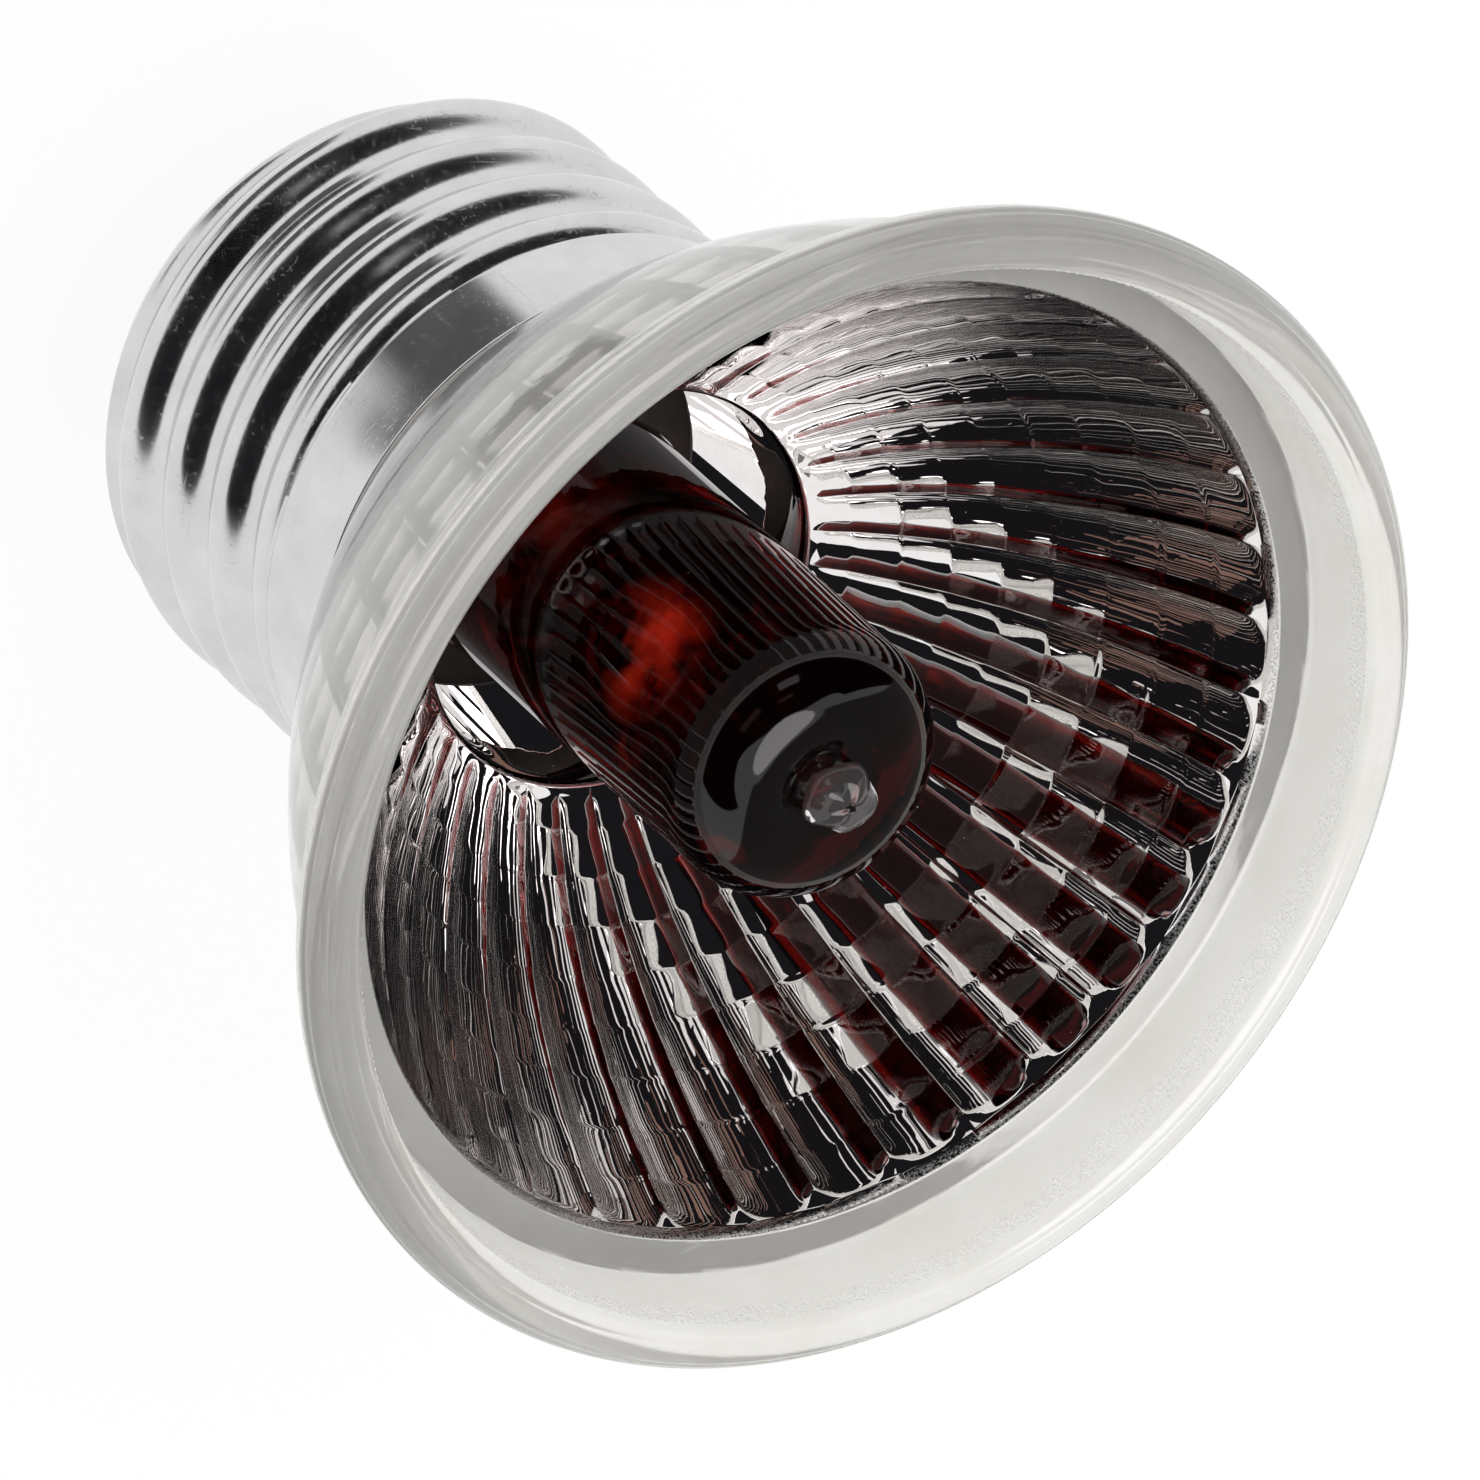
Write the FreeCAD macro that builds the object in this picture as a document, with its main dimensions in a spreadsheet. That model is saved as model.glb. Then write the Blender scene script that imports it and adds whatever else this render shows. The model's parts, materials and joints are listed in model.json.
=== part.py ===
import FreeCAD, Part
import math
import os

import Sketcher
from FreeCAD import Placement, Rotation, Vector

# Infrared heat lamp: fluted glass reflector, ruby halogen capsule, E27 screw base.
# Millimetres. The lamp's axis is Z, the tip of the centre contact is the origin, the open front is up.

SIZES = {
    # Screw base
    "base_height": "27.0",
    "skirt_radius": "13.2",
    "sheet": "0.4",
    "thread_pitch": "3.629",
    "thread_crest_radius": "13.15",
    "thread_root_radius": "12.15",
    "thread_start": "5.386",
    "thread_rise": "18.2",
    "ridge_root_sink": "0.2",
    "ridge_flank_radius": "12.72",
    "crest_half": "0.35",
    "flank_half": "0.85",
    "root_half": "1.45",
    "skirt_start": "22.9",
    "skirt_flare": "1.05",
    "shell_foot": "7.6",
    "foot_radius": "11.9",
    "foot_flare_radius": "13.6",
    "foot_flare_top": "10.0",
    "foot_lip_radius": "10.2",
    # Insulator and centre contact
    "insulator_seat": "1.2",
    "insulator_dish_radius": "7.0",
    "insulator_tip_radius": "5.4",
    "insulator_brim_radius": "10.9",
    "insulator_side_play": "0.2",
    "contact_seat": "2.6",
    "contact_radius": "4.9",
    "contact_bevel": "0.5",
    "contact_face": "1.3",
    "contact_plate": "0.9",
    "eyelet_radius": "2.0",
    "eyelet_bore_radius": "1.5",
    "eyelet_top": "4.6",
    "insulator_hole_top": "5.0",
    "solder_radius": "2.4",
    "solder_flat_radius": "1.2",
    "solder_bulge_radius": "2.1",
    "solder_bulge_height": "0.55",
    # Glass reflector, heights counted from the plane of its widest ring
    "rim_height": "46.4",
    "waist_radius": "23.3",
    "waist_drop": "2.4",
    "lip_inner_inset": "0.35",
    "lip_inner_rise": "1.0",
    "lip_crown_out": "0.65",
    "lip_rise": "1.5",
    "lip_back_out": "1.53",
    "lip_back_drop": "0.63",
    "belly_inset": "3.4",
    "belly_drop": "10.0",
    "shoulder_radius": "13.0",
    "shoulder_gap": "0.15",
    "recess_wall": "0.95",
    "recess_depth": "2.2",
    "ledge_width": "1.43",
    "strip_width": "0.28",
    "flute_rim_depth": "2.7",
    "flute_foot_radius": "8.6",
    "throat_rise": "1.0",
    "throat_radius": "8.4",
    "ellipse_ahead": "20.0",
    "flute_count": "36",
    "row_count": "9",
    "flute_turn": "7.45",
    "flute_sag_share": "0.0155",
    "flute_overrun": "0.2",
    "neck_end": "17.0",
    "cement_gap": "0.5",
    # Capsule
    "capsule_radius": "5.85",
    "capsule_wall": "1.0",
    "tube_foot": "23.5",
    "tube_top": "42.4",
    "tube_foot_bend_radius": "4.6",
    "tube_bend_drop": "2.02",
    "tube_closed_radius": "1.2",
    "tube_closed_drop": "3.4",
    "dome_bend_radius": "5.0",
    "dome_bend": "44.5",
    "dome_edge_radius": "1.9",
    "dome_edge": "45.3",
    "tip_radius": "1.35",
    "tip_neck": "45.9",
    "tip_end": "46.9",
    "chamber_foot_rise": "0.2",
    "chamber_closed_drop": "1.8",
    "chamber_end": "44.1",
    "pinch_width": "10.4",
    "pinch_thickness": "3.2",
    "pinch_end": "14.8",
    "pinch_top_drop": "0.4",
    "pinch_edge": "0.8",
    "plug_drop": "4.0",
    "plug_depth": "2.3",
    # Filament, foils and wires
    "lead_spacing": "2.2",
    "lead_radius": "0.25",
    "coil_radius": "0.9",
    "coil_foot": "32.0",
    "coil_top": "40.0",
    "lead_out": "3.6",
    "lead_bend": "0.9",
    "lead_step": "30.4",
    "lead_crown": "41.8",
    "foil_foot": "15.8",
    "foil_drop": "2.9",
    "foil_width": "2.2",
    "foil_thickness": "0.1",
    "pin_radius": "0.4",
    "pin_end": "12.6",
    "crimp_radius": "0.8",
    "crimp_foot": "11.0",
    "crimp_top": "13.8",
    "wire_radius": "0.4",
    "wire_bend": "1.2",
    "centre_wire_turn": "8.2",
    "side_wire_turn": "9.7",
    "side_wire_top": "15.2",
}

# The mark of an arc about the lamp's axis, and radii that several sections share
DOME = "dome"
RECESS_RADIUS = "waist_radius - recess_wall"
MIRROR_RADIUS = RECESS_RADIUS + " - ledge_width"
FLUTE_RIM_RADIUS = MIRROR_RADIUS + " - strip_width"

doc = FreeCAD.newDocument("heat_lamp")
sheet = doc.addObject("Spreadsheet::Sheet", "sizes")
for row, (alias, value) in enumerate(SIZES.items(), start=1):
    sheet.set(f"A{row}", alias)
    sheet.set(f"B{row}", value)
    sheet.setAlias(f"B{row}", alias)
doc.recompute()


def amount(text):
    """Millimetres of a sum of sheet names such as 'rim_height - waist_drop'; no name at all is zero."""
    total = 0.0
    sign = 1.0
    for word in text.split():
        if word in ("+", "-"):
            sign = 1.0 if word == "+" else -1.0
        else:
            total += sign * float(sheet.get(word))
    return total


def bound(text):
    """The same sum as an expression on the sheet."""
    return " ".join(word if word in ("+", "-") else "sizes." + word for word in text.split())


def sketch_axis(name):
    """The number by which a constraint calls one of the sketch's own axes."""
    return {"level": -1, "upright": -2}[name]


def fix_point(sketch, geometry, place, across, up):
    """Tie one sketch point to the sheet; an empty name lays it on the axis."""
    for direction, text, axis in (("DistanceX", across, "upright"), ("DistanceY", up, "level")):
        if text:
            rule = Sketcher.Constraint(direction, sketch_axis("level"), 1, geometry, place, amount(text))
            number = sketch.addConstraint(rule)
            sketch.setExpression(f"Constraints[{number}]", bound(text))
        else:
            sketch.addConstraint(Sketcher.Constraint("PointOnObject", geometry, place, sketch_axis(axis)))


def new_sketch(body, label):
    """An empty sketch on the body's own XZ plane: across is the radius, up is the height."""
    sketch = body.newObject("Sketcher::SketchObject", label)
    plane = next(item for item in body.Origin.OriginFeatures if item.Role == "XZ_Plane")
    sketch.AttachmentSupport = [(plane, "")]
    sketch.MapMode = "FlatFace"
    doc.recompute()
    return sketch


def dome_arc(start, top):
    """Arc from start to a top on the axis, about a centre on the axis."""
    rise = top.y - start.y
    radius = (start.x ** 2 + rise ** 2) / (2 * rise)
    centre = Vector(0, top.y - radius, 0)
    half = (start - centre).getAngle(top - centre) / 2
    middle = centre + Vector(math.sin(half), math.cos(half), 0) * radius
    return Part.Arc(start, middle, top)


def section(body, label, corners):
    """Closed outline tied to the sheet. A corner is (radius, height), reached by a line,
    (radius, height, DOME), reached by an arc about the axis, or
    (radius, height, via radius, via height), reached by an arc through a third point."""
    sketch = new_sketch(body, label)
    spots = [Vector(amount(corner[0]), amount(corner[1]), 0) for corner in corners]
    ends = []
    for index, corner in enumerate(corners):
        start = spots[index - 1]
        if len(corner) == 4:
            via = Vector(amount(corner[2]), amount(corner[3]), 0)
            curve = Part.Arc(start, via, spots[index])
        elif len(corner) == 3:
            curve = dome_arc(start, spots[index])
        else:
            curve = Part.LineSegment(start, spots[index])
        geometry = sketch.addGeometry(curve, False)
        begin = sketch.getPoint(geometry, 1)
        forward = begin.distanceToPoint(start) < begin.distanceToPoint(spots[index])
        ends.append((geometry, 1, 2) if forward else (geometry, 2, 1))
    for index, (geometry, first, last) in enumerate(ends):
        before = ends[index - 1]
        sketch.addConstraint(Sketcher.Constraint("Coincident", before[0], before[2], geometry, first))
        fix_point(sketch, geometry, last, corners[index][0], corners[index][1])
    for (geometry, first, last), corner in zip(ends, corners):
        if len(corner) == 4:
            via = sketch.addGeometry(Part.Point(Vector(amount(corner[2]), amount(corner[3]), 0)), True)
            sketch.addConstraint(Sketcher.Constraint("PointOnObject", via, 1, geometry))
            fix_point(sketch, via, 1, corner[2], corner[3])
        elif len(corner) == 3:
            sketch.addConstraint(Sketcher.Constraint("PointOnObject", geometry, 3, sketch_axis("upright")))
    return sketch


def turned(label, corners):
    """A body turned about the lamp's axis from one section."""
    body = doc.addObject("PartDesign::Body", label)
    sketch = section(body, label + "_section", corners)
    turn = body.newObject("PartDesign::Revolution", label + "_turn")
    turn.Profile = sketch
    turn.ReferenceAxis = (sketch, ["V_Axis"])
    turn.Angle = 360.0
    doc.recompute()
    return body


def turned_away(body, label, corners):
    """Turn a section about the axis and cut it from the body."""
    sketch = section(body, label, corners)
    groove = body.newObject("PartDesign::Groove", label + "_groove")
    groove.Profile = sketch
    groove.ReferenceAxis = (sketch, ["V_Axis"])
    groove.Angle = 360.0
    doc.recompute()


def rod(label, radius, foot, top, across):
    """A straight round rod along Z, set off the axis along X by the sum across."""
    piece = doc.addObject("Part::Cylinder", label)
    piece.setExpression("Radius", bound(radius))
    piece.setExpression("Height", f"{bound(top)} - ({bound(foot)})")
    piece.setExpression("Placement.Base.x", across)
    piece.setExpression("Placement.Base.z", bound(foot))
    return piece


def block(label, width, depth, foot, top, across):
    """An upright box centred on the XZ plane, set off the axis along X by the expression across."""
    piece = doc.addObject("Part::Box", label)
    piece.setExpression("Length", bound(width))
    piece.setExpression("Width", bound(depth))
    piece.setExpression("Height", f"{bound(top)} - ({bound(foot)})")
    piece.setExpression("Placement.Base.x", f"{across} - {bound(width)} / 2")
    piece.setExpression("Placement.Base.y", f"-({bound(depth)}) / 2")
    piece.setExpression("Placement.Base.z", bound(foot))
    return piece


def bent_path(points, bend):
    """A wire of straight runs in the XZ plane, joined by tangent arcs of one bend radius."""
    spots = [Vector(x, 0, z) for x, z in points]
    edges = []
    last = spots[0]
    for before, corner, after in zip(spots, spots[1:], spots[2:]):
        towards = (before - corner).normalize()
        onward = (after - corner).normalize()
        half = towards.getAngle(onward) / 2
        reach = bend / math.tan(half)
        middle = (towards + onward).normalize() * (bend / math.sin(half) - bend)
        start = corner + towards * reach
        end = corner + onward * reach
        edges.append(Part.LineSegment(last, start).toShape())
        edges.append(Part.Arc(start, corner + middle, end).toShape())
        last = end
    edges.append(Part.LineSegment(last, spots[-1]).toShape())
    return Part.Wire(edges)


def bent_wire(label, points, radius, bend):
    """A round wire swept along straight runs and tangent bends."""
    path = doc.addObject("Part::Feature", label + "_path")
    path.Shape = bent_path(points, amount(bend))
    ring = doc.addObject("Part::Circle", label + "_ring")
    ring.setExpression("Radius", bound(radius))
    heading = Vector(points[1][0] - points[0][0], 0, points[1][1] - points[0][1])
    ring.Placement = Placement(Vector(points[0][0], 0, points[0][1]), Rotation(Vector(0, 0, 1), heading))
    sweep = doc.addObject("Part::Sweep", label)
    sweep.Sections = [ring]
    sweep.Spine = (path, [f"Edge{number + 1}" for number in range(len(path.Shape.Edges))])
    sweep.Solid = True
    sweep.Frenet = False
    return sweep


def joined(label, pieces):
    """Several solids fused to one."""
    fusion = doc.addObject("Part::MultiFuse", label)
    fusion.Shapes = pieces
    return fusion


def cut(label, base, tool):
    """One solid less another."""
    less = doc.addObject("Part::Cut", label)
    less.Base = base
    less.Tool = tool
    return less


# Screw shell: sheet skirt and core, a rolled round thread, its start faded by a conical foot
def build_screw_shell():
    body = turned("screw_shell", [
        ("", "shell_foot"),
        ("thread_root_radius", "shell_foot"),
        ("thread_root_radius", "skirt_start - skirt_flare"),
        ("skirt_radius", "skirt_start"),
        ("skirt_radius", "base_height"),
        ("", "base_height"),
    ])
    ridge = section(body, "thread_ridge", [
        ("thread_root_radius - ridge_root_sink", "thread_start - root_half"),
        ("ridge_flank_radius", "thread_start - flank_half"),
        ("thread_crest_radius", "thread_start - crest_half"),
        ("thread_crest_radius", "thread_start + crest_half"),
        ("ridge_flank_radius", "thread_start + flank_half"),
        ("thread_root_radius - ridge_root_sink", "thread_start + root_half"),
    ])
    thread = body.newObject("PartDesign::AdditiveHelix", "thread")
    thread.Profile = ridge
    thread.ReferenceAxis = (ridge, ["V_Axis"])
    thread.Mode = 0
    thread.setExpression("Pitch", bound("thread_pitch"))
    thread.setExpression("Height", bound("thread_rise"))
    doc.recompute()
    turned_away(body, "foot_trim", [
        ("foot_radius", "shell_foot"),
        ("foot_flare_radius", "foot_flare_top"),
        ("foot_flare_radius + sheet", "foot_flare_top"),
        ("foot_flare_radius + sheet", "sheet"),
        ("foot_radius", "sheet"),
    ])
    turned_away(body, "shell_bore", [
        ("", "shell_foot"),
        ("foot_lip_radius", "shell_foot"),
        ("foot_lip_radius", "shell_foot + sheet"),
        ("thread_root_radius - sheet", "shell_foot + sheet"),
        ("thread_root_radius - sheet", "skirt_start - skirt_flare + sheet"),
        ("skirt_radius - sheet", "skirt_start + sheet"),
        ("skirt_radius - sheet", "base_height"),
        ("", "base_height"),
    ])
    return body


# Base insulator: a glass cone through the shell's foot, dished on the inside
def build_base_insulator():
    return turned("base_insulator", [
        ("eyelet_radius", "contact_seat"),
        ("insulator_tip_radius", "contact_seat"),
        ("insulator_brim_radius", "shell_foot"),
        ("foot_lip_radius", "shell_foot"),
        ("foot_lip_radius", "shell_foot + sheet"),
        ("thread_root_radius - sheet - insulator_side_play", "shell_foot + sheet"),
        ("thread_root_radius - sheet - insulator_side_play", "shell_foot + sheet + insulator_seat"),
        ("insulator_dish_radius", "shell_foot + sheet + insulator_seat"),
        ("eyelet_radius", "insulator_hole_top"),
    ])


# Centre contact: a pressed eyelet whose tube sits in the insulator, and its button of solder
def build_centre_contact():
    return turned("centre_contact", [
        ("wire_radius", "contact_face"),
        ("contact_radius - contact_bevel", "contact_face"),
        ("contact_radius", "contact_face + contact_bevel"),
        ("contact_radius", "contact_seat"),
        ("eyelet_radius", "contact_seat"),
        ("eyelet_radius", "eyelet_top"),
        ("eyelet_bore_radius", "eyelet_top"),
        ("eyelet_bore_radius", "contact_face + contact_plate"),
        ("wire_radius", "contact_face + contact_plate"),
    ])


def build_centre_solder():
    return turned("centre_solder", [
        ("", ""),
        ("solder_flat_radius", ""),
        ("solder_radius", "contact_face", "solder_bulge_radius", "solder_bulge_height"),
        ("", "contact_face"),
    ])


# Reflector: a turned glass blank with lip, cover seat, belly and neck, less the fluted bowl
def fluted_ring(radius, height):
    """One closed scalloped wire: arcs that bulge outwards between sharp ridges."""
    count = int(amount("flute_count"))
    step = 2 * math.pi / count
    sag = radius * amount("flute_sag_share")
    ridge_radius = (radius - sag) / math.cos(step / 2)
    turn = math.radians(amount("flute_turn"))
    arcs = []
    for flute in range(count):
        angles = [turn + step * (flute + part) for part in (0.0, 0.5, 1.0)]
        radii = [ridge_radius, radius, ridge_radius]
        spots = [Vector(r * math.cos(a), r * math.sin(a), height) for r, a in zip(radii, angles)]
        arcs.append(Part.Arc(*spots).toShape())
    return Part.Wire(arcs)


def mirror_rows():
    """Radius and depth of each row edge of the mirror, on an ellipse about the lamp's axis."""
    ahead = amount("ellipse_ahead")
    rim = (amount(FLUTE_RIM_RADIUS), amount("flute_rim_depth") + ahead)
    foot = (amount("flute_foot_radius"), amount("rim_height - base_height - throat_rise") + ahead)
    narrowing = rim[0] ** 2 - foot[0] ** 2
    length = math.sqrt((rim[0] ** 2 * foot[1] ** 2 - foot[0] ** 2 * rim[1] ** 2) / narrowing)
    width = rim[0] / math.sqrt(1 - (rim[1] / length) ** 2)
    first = math.asin(rim[1] / length)
    last = math.asin(foot[1] / length)
    count = int(amount("row_count"))
    angles = [first + (last - first) * row / count for row in range(count + 1)]
    return [(width * math.cos(angle), length * math.sin(angle) - ahead) for angle in angles]


def build_reflector_bowl():
    blank = turned("reflector_blank", [
        ("throat_radius", "neck_end"),
        ("thread_root_radius - sheet - cement_gap", "neck_end"),
        ("thread_root_radius - sheet - cement_gap", "skirt_start - skirt_flare + sheet + cement_gap"),
        ("skirt_radius - sheet - cement_gap", "skirt_start + sheet + cement_gap"),
        ("skirt_radius - sheet - cement_gap", "base_height + shoulder_gap"),
        ("shoulder_radius", "base_height + shoulder_gap"),
        ("waist_radius", "rim_height - waist_drop", "waist_radius - belly_inset", "rim_height - belly_drop"),
        ("waist_radius + lip_back_out", "rim_height - lip_back_drop"),
        ("waist_radius - lip_inner_inset", "rim_height + lip_inner_rise",
         "waist_radius + lip_crown_out", "rim_height + lip_rise"),
        (RECESS_RADIUS, "rim_height - recess_depth"),
        (MIRROR_RADIUS, "rim_height - recess_depth"),
        (FLUTE_RIM_RADIUS, "rim_height - flute_rim_depth"),
        ("throat_radius", "rim_height - flute_rim_depth"),
    ])
    rows = mirror_rows()
    rim = amount("rim_height")
    rings = [fluted_ring(radius, rim - depth) for radius, depth in rows]
    rings.insert(0, fluted_ring(rows[0][0], rim - rows[0][1] + amount("flute_overrun")))
    bowl = doc.addObject("Part::Feature", "fluted_bowl")
    bowl.Shape = Part.makeLoft(rings, True, True)
    return cut("reflector_bowl", blank, bowl)


# Cement between the glass neck and the shell
def build_base_cement():
    return turned("base_cement", [
        ("thread_root_radius - sheet - cement_gap", "neck_end"),
        ("thread_root_radius - sheet", "neck_end"),
        ("thread_root_radius - sheet", "skirt_start - skirt_flare + sheet"),
        ("skirt_radius - sheet", "skirt_start + sheet"),
        ("skirt_radius - sheet", "base_height + shoulder_gap"),
        ("skirt_radius - sheet - cement_gap", "base_height + shoulder_gap"),
        ("skirt_radius - sheet - cement_gap", "skirt_start + sheet + cement_gap"),
        ("thread_root_radius - sheet - cement_gap", "skirt_start - skirt_flare + sheet + cement_gap"),
    ])


# Capsule: blown tube with domed end and exhaust tip, flat pinch below, hollow chamber
def build_pinch(label):
    slab = block(label, "pinch_width", "pinch_thickness", "pinch_end", "tube_foot - pinch_top_drop", "0")
    doc.recompute()
    upright = [number for number, edge in enumerate(slab.Shape.Edges, start=1)
               if abs(edge.tangentAt(edge.FirstParameter).z) > 0.99]
    rounded = doc.addObject("Part::Fillet", label + "_rounded")
    rounded.Base = slab
    rounded.Edges = [(number, amount("pinch_edge"), amount("pinch_edge")) for number in upright]
    return rounded


def build_capsule_envelope(sealed):
    tube = turned("capsule_tube", [
        ("", "tube_foot - tube_closed_drop"),
        ("tube_closed_radius", "tube_foot - tube_closed_drop"),
        ("capsule_radius", "tube_foot", "tube_foot_bend_radius", "tube_foot - tube_bend_drop"),
        ("capsule_radius", "tube_top"),
        ("dome_edge_radius", "dome_edge", "dome_bend_radius", "dome_bend"),
        ("tip_radius", "tip_neck"),
        ("", "tip_end", DOME),
    ])
    chamber = turned("capsule_chamber", [
        ("", "tube_foot - chamber_closed_drop"),
        ("tube_closed_radius", "tube_foot - chamber_closed_drop"),
        ("capsule_radius - capsule_wall", "tube_foot + chamber_foot_rise"),
        ("capsule_radius - capsule_wall", "tube_top"),
        ("", "chamber_end", DOME),
    ])
    glass = joined("capsule_glass", [tube, build_pinch("pinch")])
    return cut("capsule_envelope", glass, joined("capsule_hollow", [chamber] + sealed))


def build_capsule_cement():
    plug = rod("cement_plug", "throat_radius", "tube_foot - plug_drop - plug_depth",
               "tube_foot - plug_drop", "0")
    return cut("capsule_cement", plug, build_pinch("cement_slot"))


# Filament and what carries it, foils, pins and crimps
def build_lead_in_lower():
    apart = amount("lead_spacing")
    return bent_wire("lead_in_lower", [
        (-apart, amount("tube_foot - foil_drop")),
        (-apart, amount("lead_step")),
        (0.0, amount("lead_step")),
        (0.0, amount("coil_foot")),
    ], "lead_radius", "lead_bend")


def build_lead_in_upper():
    apart = amount("lead_spacing")
    out = amount("lead_out")
    return bent_wire("lead_in_upper", [
        (apart, amount("tube_foot - foil_drop")),
        (apart, amount("tube_foot + chamber_foot_rise")),
        (out, amount("lead_step + lead_bend")),
        (out, amount("lead_crown")),
        (0.0, amount("lead_crown")),
        (0.0, amount("coil_top")),
    ], "lead_radius", "lead_bend")


def build_crimp(label, across):
    sleeve = rod(label + "_sleeve", "crimp_radius", "crimp_foot", "crimp_top", across)
    hole = rod(label + "_hole", "pin_radius", "crimp_foot", "crimp_top", across)
    return cut(label, sleeve, hole)


def build_centre_wire():
    apart = amount("lead_spacing")
    return bent_wire("centre_wire", [
        (-apart, amount("pin_end")),
        (-apart, amount("centre_wire_turn + wire_bend")),
        (0.0, amount("centre_wire_turn")),
        (0.0, amount("contact_face")),
    ], "wire_radius", "wire_bend")


def build_side_wire():
    apart = amount("lead_spacing")
    wall = amount("thread_root_radius - sheet - wire_radius")
    return bent_wire("side_wire", [
        (apart, amount("pin_end")),
        (apart, amount("side_wire_turn")),
        (wall, amount("side_wire_turn")),
        (wall, amount("side_wire_top")),
    ], "wire_radius", "wire_bend")


LEFT = "-sizes.lead_spacing"
RIGHT = "sizes.lead_spacing"
foil_a = block("foil_a", "foil_width", "foil_thickness", "foil_foot", "tube_foot - foil_drop", LEFT)
foil_b = block("foil_b", "foil_width", "foil_thickness", "foil_foot", "tube_foot - foil_drop", RIGHT)
pin_a = rod("pin_a", "pin_radius", "pin_end", "foil_foot", LEFT)
pin_b = rod("pin_b", "pin_radius", "pin_end", "foil_foot", RIGHT)
lead_in_lower = build_lead_in_lower()
lead_in_upper = build_lead_in_upper()

nodes = [
    build_screw_shell(),
    build_base_insulator(),
    build_centre_contact(),
    build_centre_solder(),
    build_base_cement(),
    build_reflector_bowl(),
    build_capsule_envelope([foil_a, foil_b, pin_a, pin_b, lead_in_lower, lead_in_upper]),
    build_capsule_cement(),
    rod("filament_coil", "coil_radius", "coil_foot", "coil_top", "0"),
    lead_in_lower,
    lead_in_upper,
    foil_a,
    foil_b,
    pin_a,
    pin_b,
    build_crimp("crimp_a", LEFT),
    build_crimp("crimp_b", RIGHT),
    build_centre_wire(),
    build_side_wire(),
]
doc.recompute()

for item in doc.Objects:
    if "Invalid" in item.State or "Error" in item.State:
        raise RuntimeError(f"{item.Label}: {item.State}")

os.makedirs("parts", exist_ok=True)
for node in nodes:
    if node.Shape.isNull() or not node.Shape.isValid():
        raise RuntimeError(f"{node.Label}: shape is null or not valid")
    node.Shape.exportStep(f"parts/{node.Label}.step")
    print(node.Label, len(node.Shape.Solids), "solids", round(node.Shape.Volume, 1), "mm3")
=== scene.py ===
"""Looks of the infrared heat lamp: mirrored glass reflector, ruby capsule and screw base."""

import functools
import json
import logging
import math
from abc import ABC, abstractmethod
from dataclasses import dataclass, field
from enum import Enum

import bpy
import numpy as np
from mathutils import Matrix, Vector

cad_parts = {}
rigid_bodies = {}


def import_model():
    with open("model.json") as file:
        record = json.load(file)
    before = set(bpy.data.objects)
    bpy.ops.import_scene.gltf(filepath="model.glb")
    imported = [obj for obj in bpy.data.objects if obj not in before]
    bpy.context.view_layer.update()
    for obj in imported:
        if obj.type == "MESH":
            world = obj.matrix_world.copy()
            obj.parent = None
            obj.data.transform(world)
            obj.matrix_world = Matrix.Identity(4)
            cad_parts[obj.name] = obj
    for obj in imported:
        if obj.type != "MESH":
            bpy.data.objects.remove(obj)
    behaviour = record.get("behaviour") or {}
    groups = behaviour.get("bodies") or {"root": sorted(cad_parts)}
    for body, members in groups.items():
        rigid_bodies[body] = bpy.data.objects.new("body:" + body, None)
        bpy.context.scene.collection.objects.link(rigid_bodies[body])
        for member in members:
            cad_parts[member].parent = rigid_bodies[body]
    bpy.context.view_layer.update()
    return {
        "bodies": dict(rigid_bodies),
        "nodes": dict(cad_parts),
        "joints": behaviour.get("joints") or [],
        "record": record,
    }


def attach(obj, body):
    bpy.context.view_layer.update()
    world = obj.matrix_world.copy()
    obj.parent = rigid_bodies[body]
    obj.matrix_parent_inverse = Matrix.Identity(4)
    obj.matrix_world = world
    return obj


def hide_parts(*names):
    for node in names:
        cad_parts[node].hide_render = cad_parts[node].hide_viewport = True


LOG = logging.getLogger("heat_lamp")
MM = 0.001

Pair = tuple[float, float]
Colour = tuple[float, float, float]
Socket = bpy.types.NodeSocket
Feed = Socket | float | Colour | tuple[float, float, float, float]
Inputs = dict[str | int, Feed]
FULL_TURN = 2 * math.pi
PLAIN_WHITE = (1.0, 1.0, 1.0, 1.0)
TUNGSTEN_LOOK = ((0.30, 0.30, 0.31), (0.42, 0.42, 0.43), (0.3, 0.45))


class Wrap(Enum):
    """Directions in which a grid of points closes on itself."""

    COLUMNS = "columns"
    BOTH = "both"
    NONE = "none"


class Side(Enum):
    """Which way the faces of a closed patch look."""

    OUT = 1.0
    HOLLOW = -1.0
    AS_DRAWN = 0.0


def soft_max(first: np.ndarray, second: np.ndarray, rounding: float) -> np.ndarray:
    """Larger of two heights with a rounded join.

    It is half their sum plus half the root of their gap squared plus the rounding squared.

    Args:
        first: one height field.
        second: the other height field.
        rounding: size of the fillet where they cross.

    Returns:
        The blended field.
    """
    return 0.5 * (first + second + np.sqrt((first - second) ** 2 + rounding**2))


def soft_min(first: np.ndarray, second: np.ndarray, rounding: float) -> np.ndarray:
    """Smaller of two heights with a rounded join, the mirror image of soft_max."""
    return -soft_max(-first, -second, rounding)


def smooth_step(low: float, high: float, value: np.ndarray) -> np.ndarray:
    """Cubic ease from 0 at low to 1 at high."""
    share = np.clip((value - low) / (high - low), 0.0, 1.0)
    return share * share * (3.0 - 2.0 * share)


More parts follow.
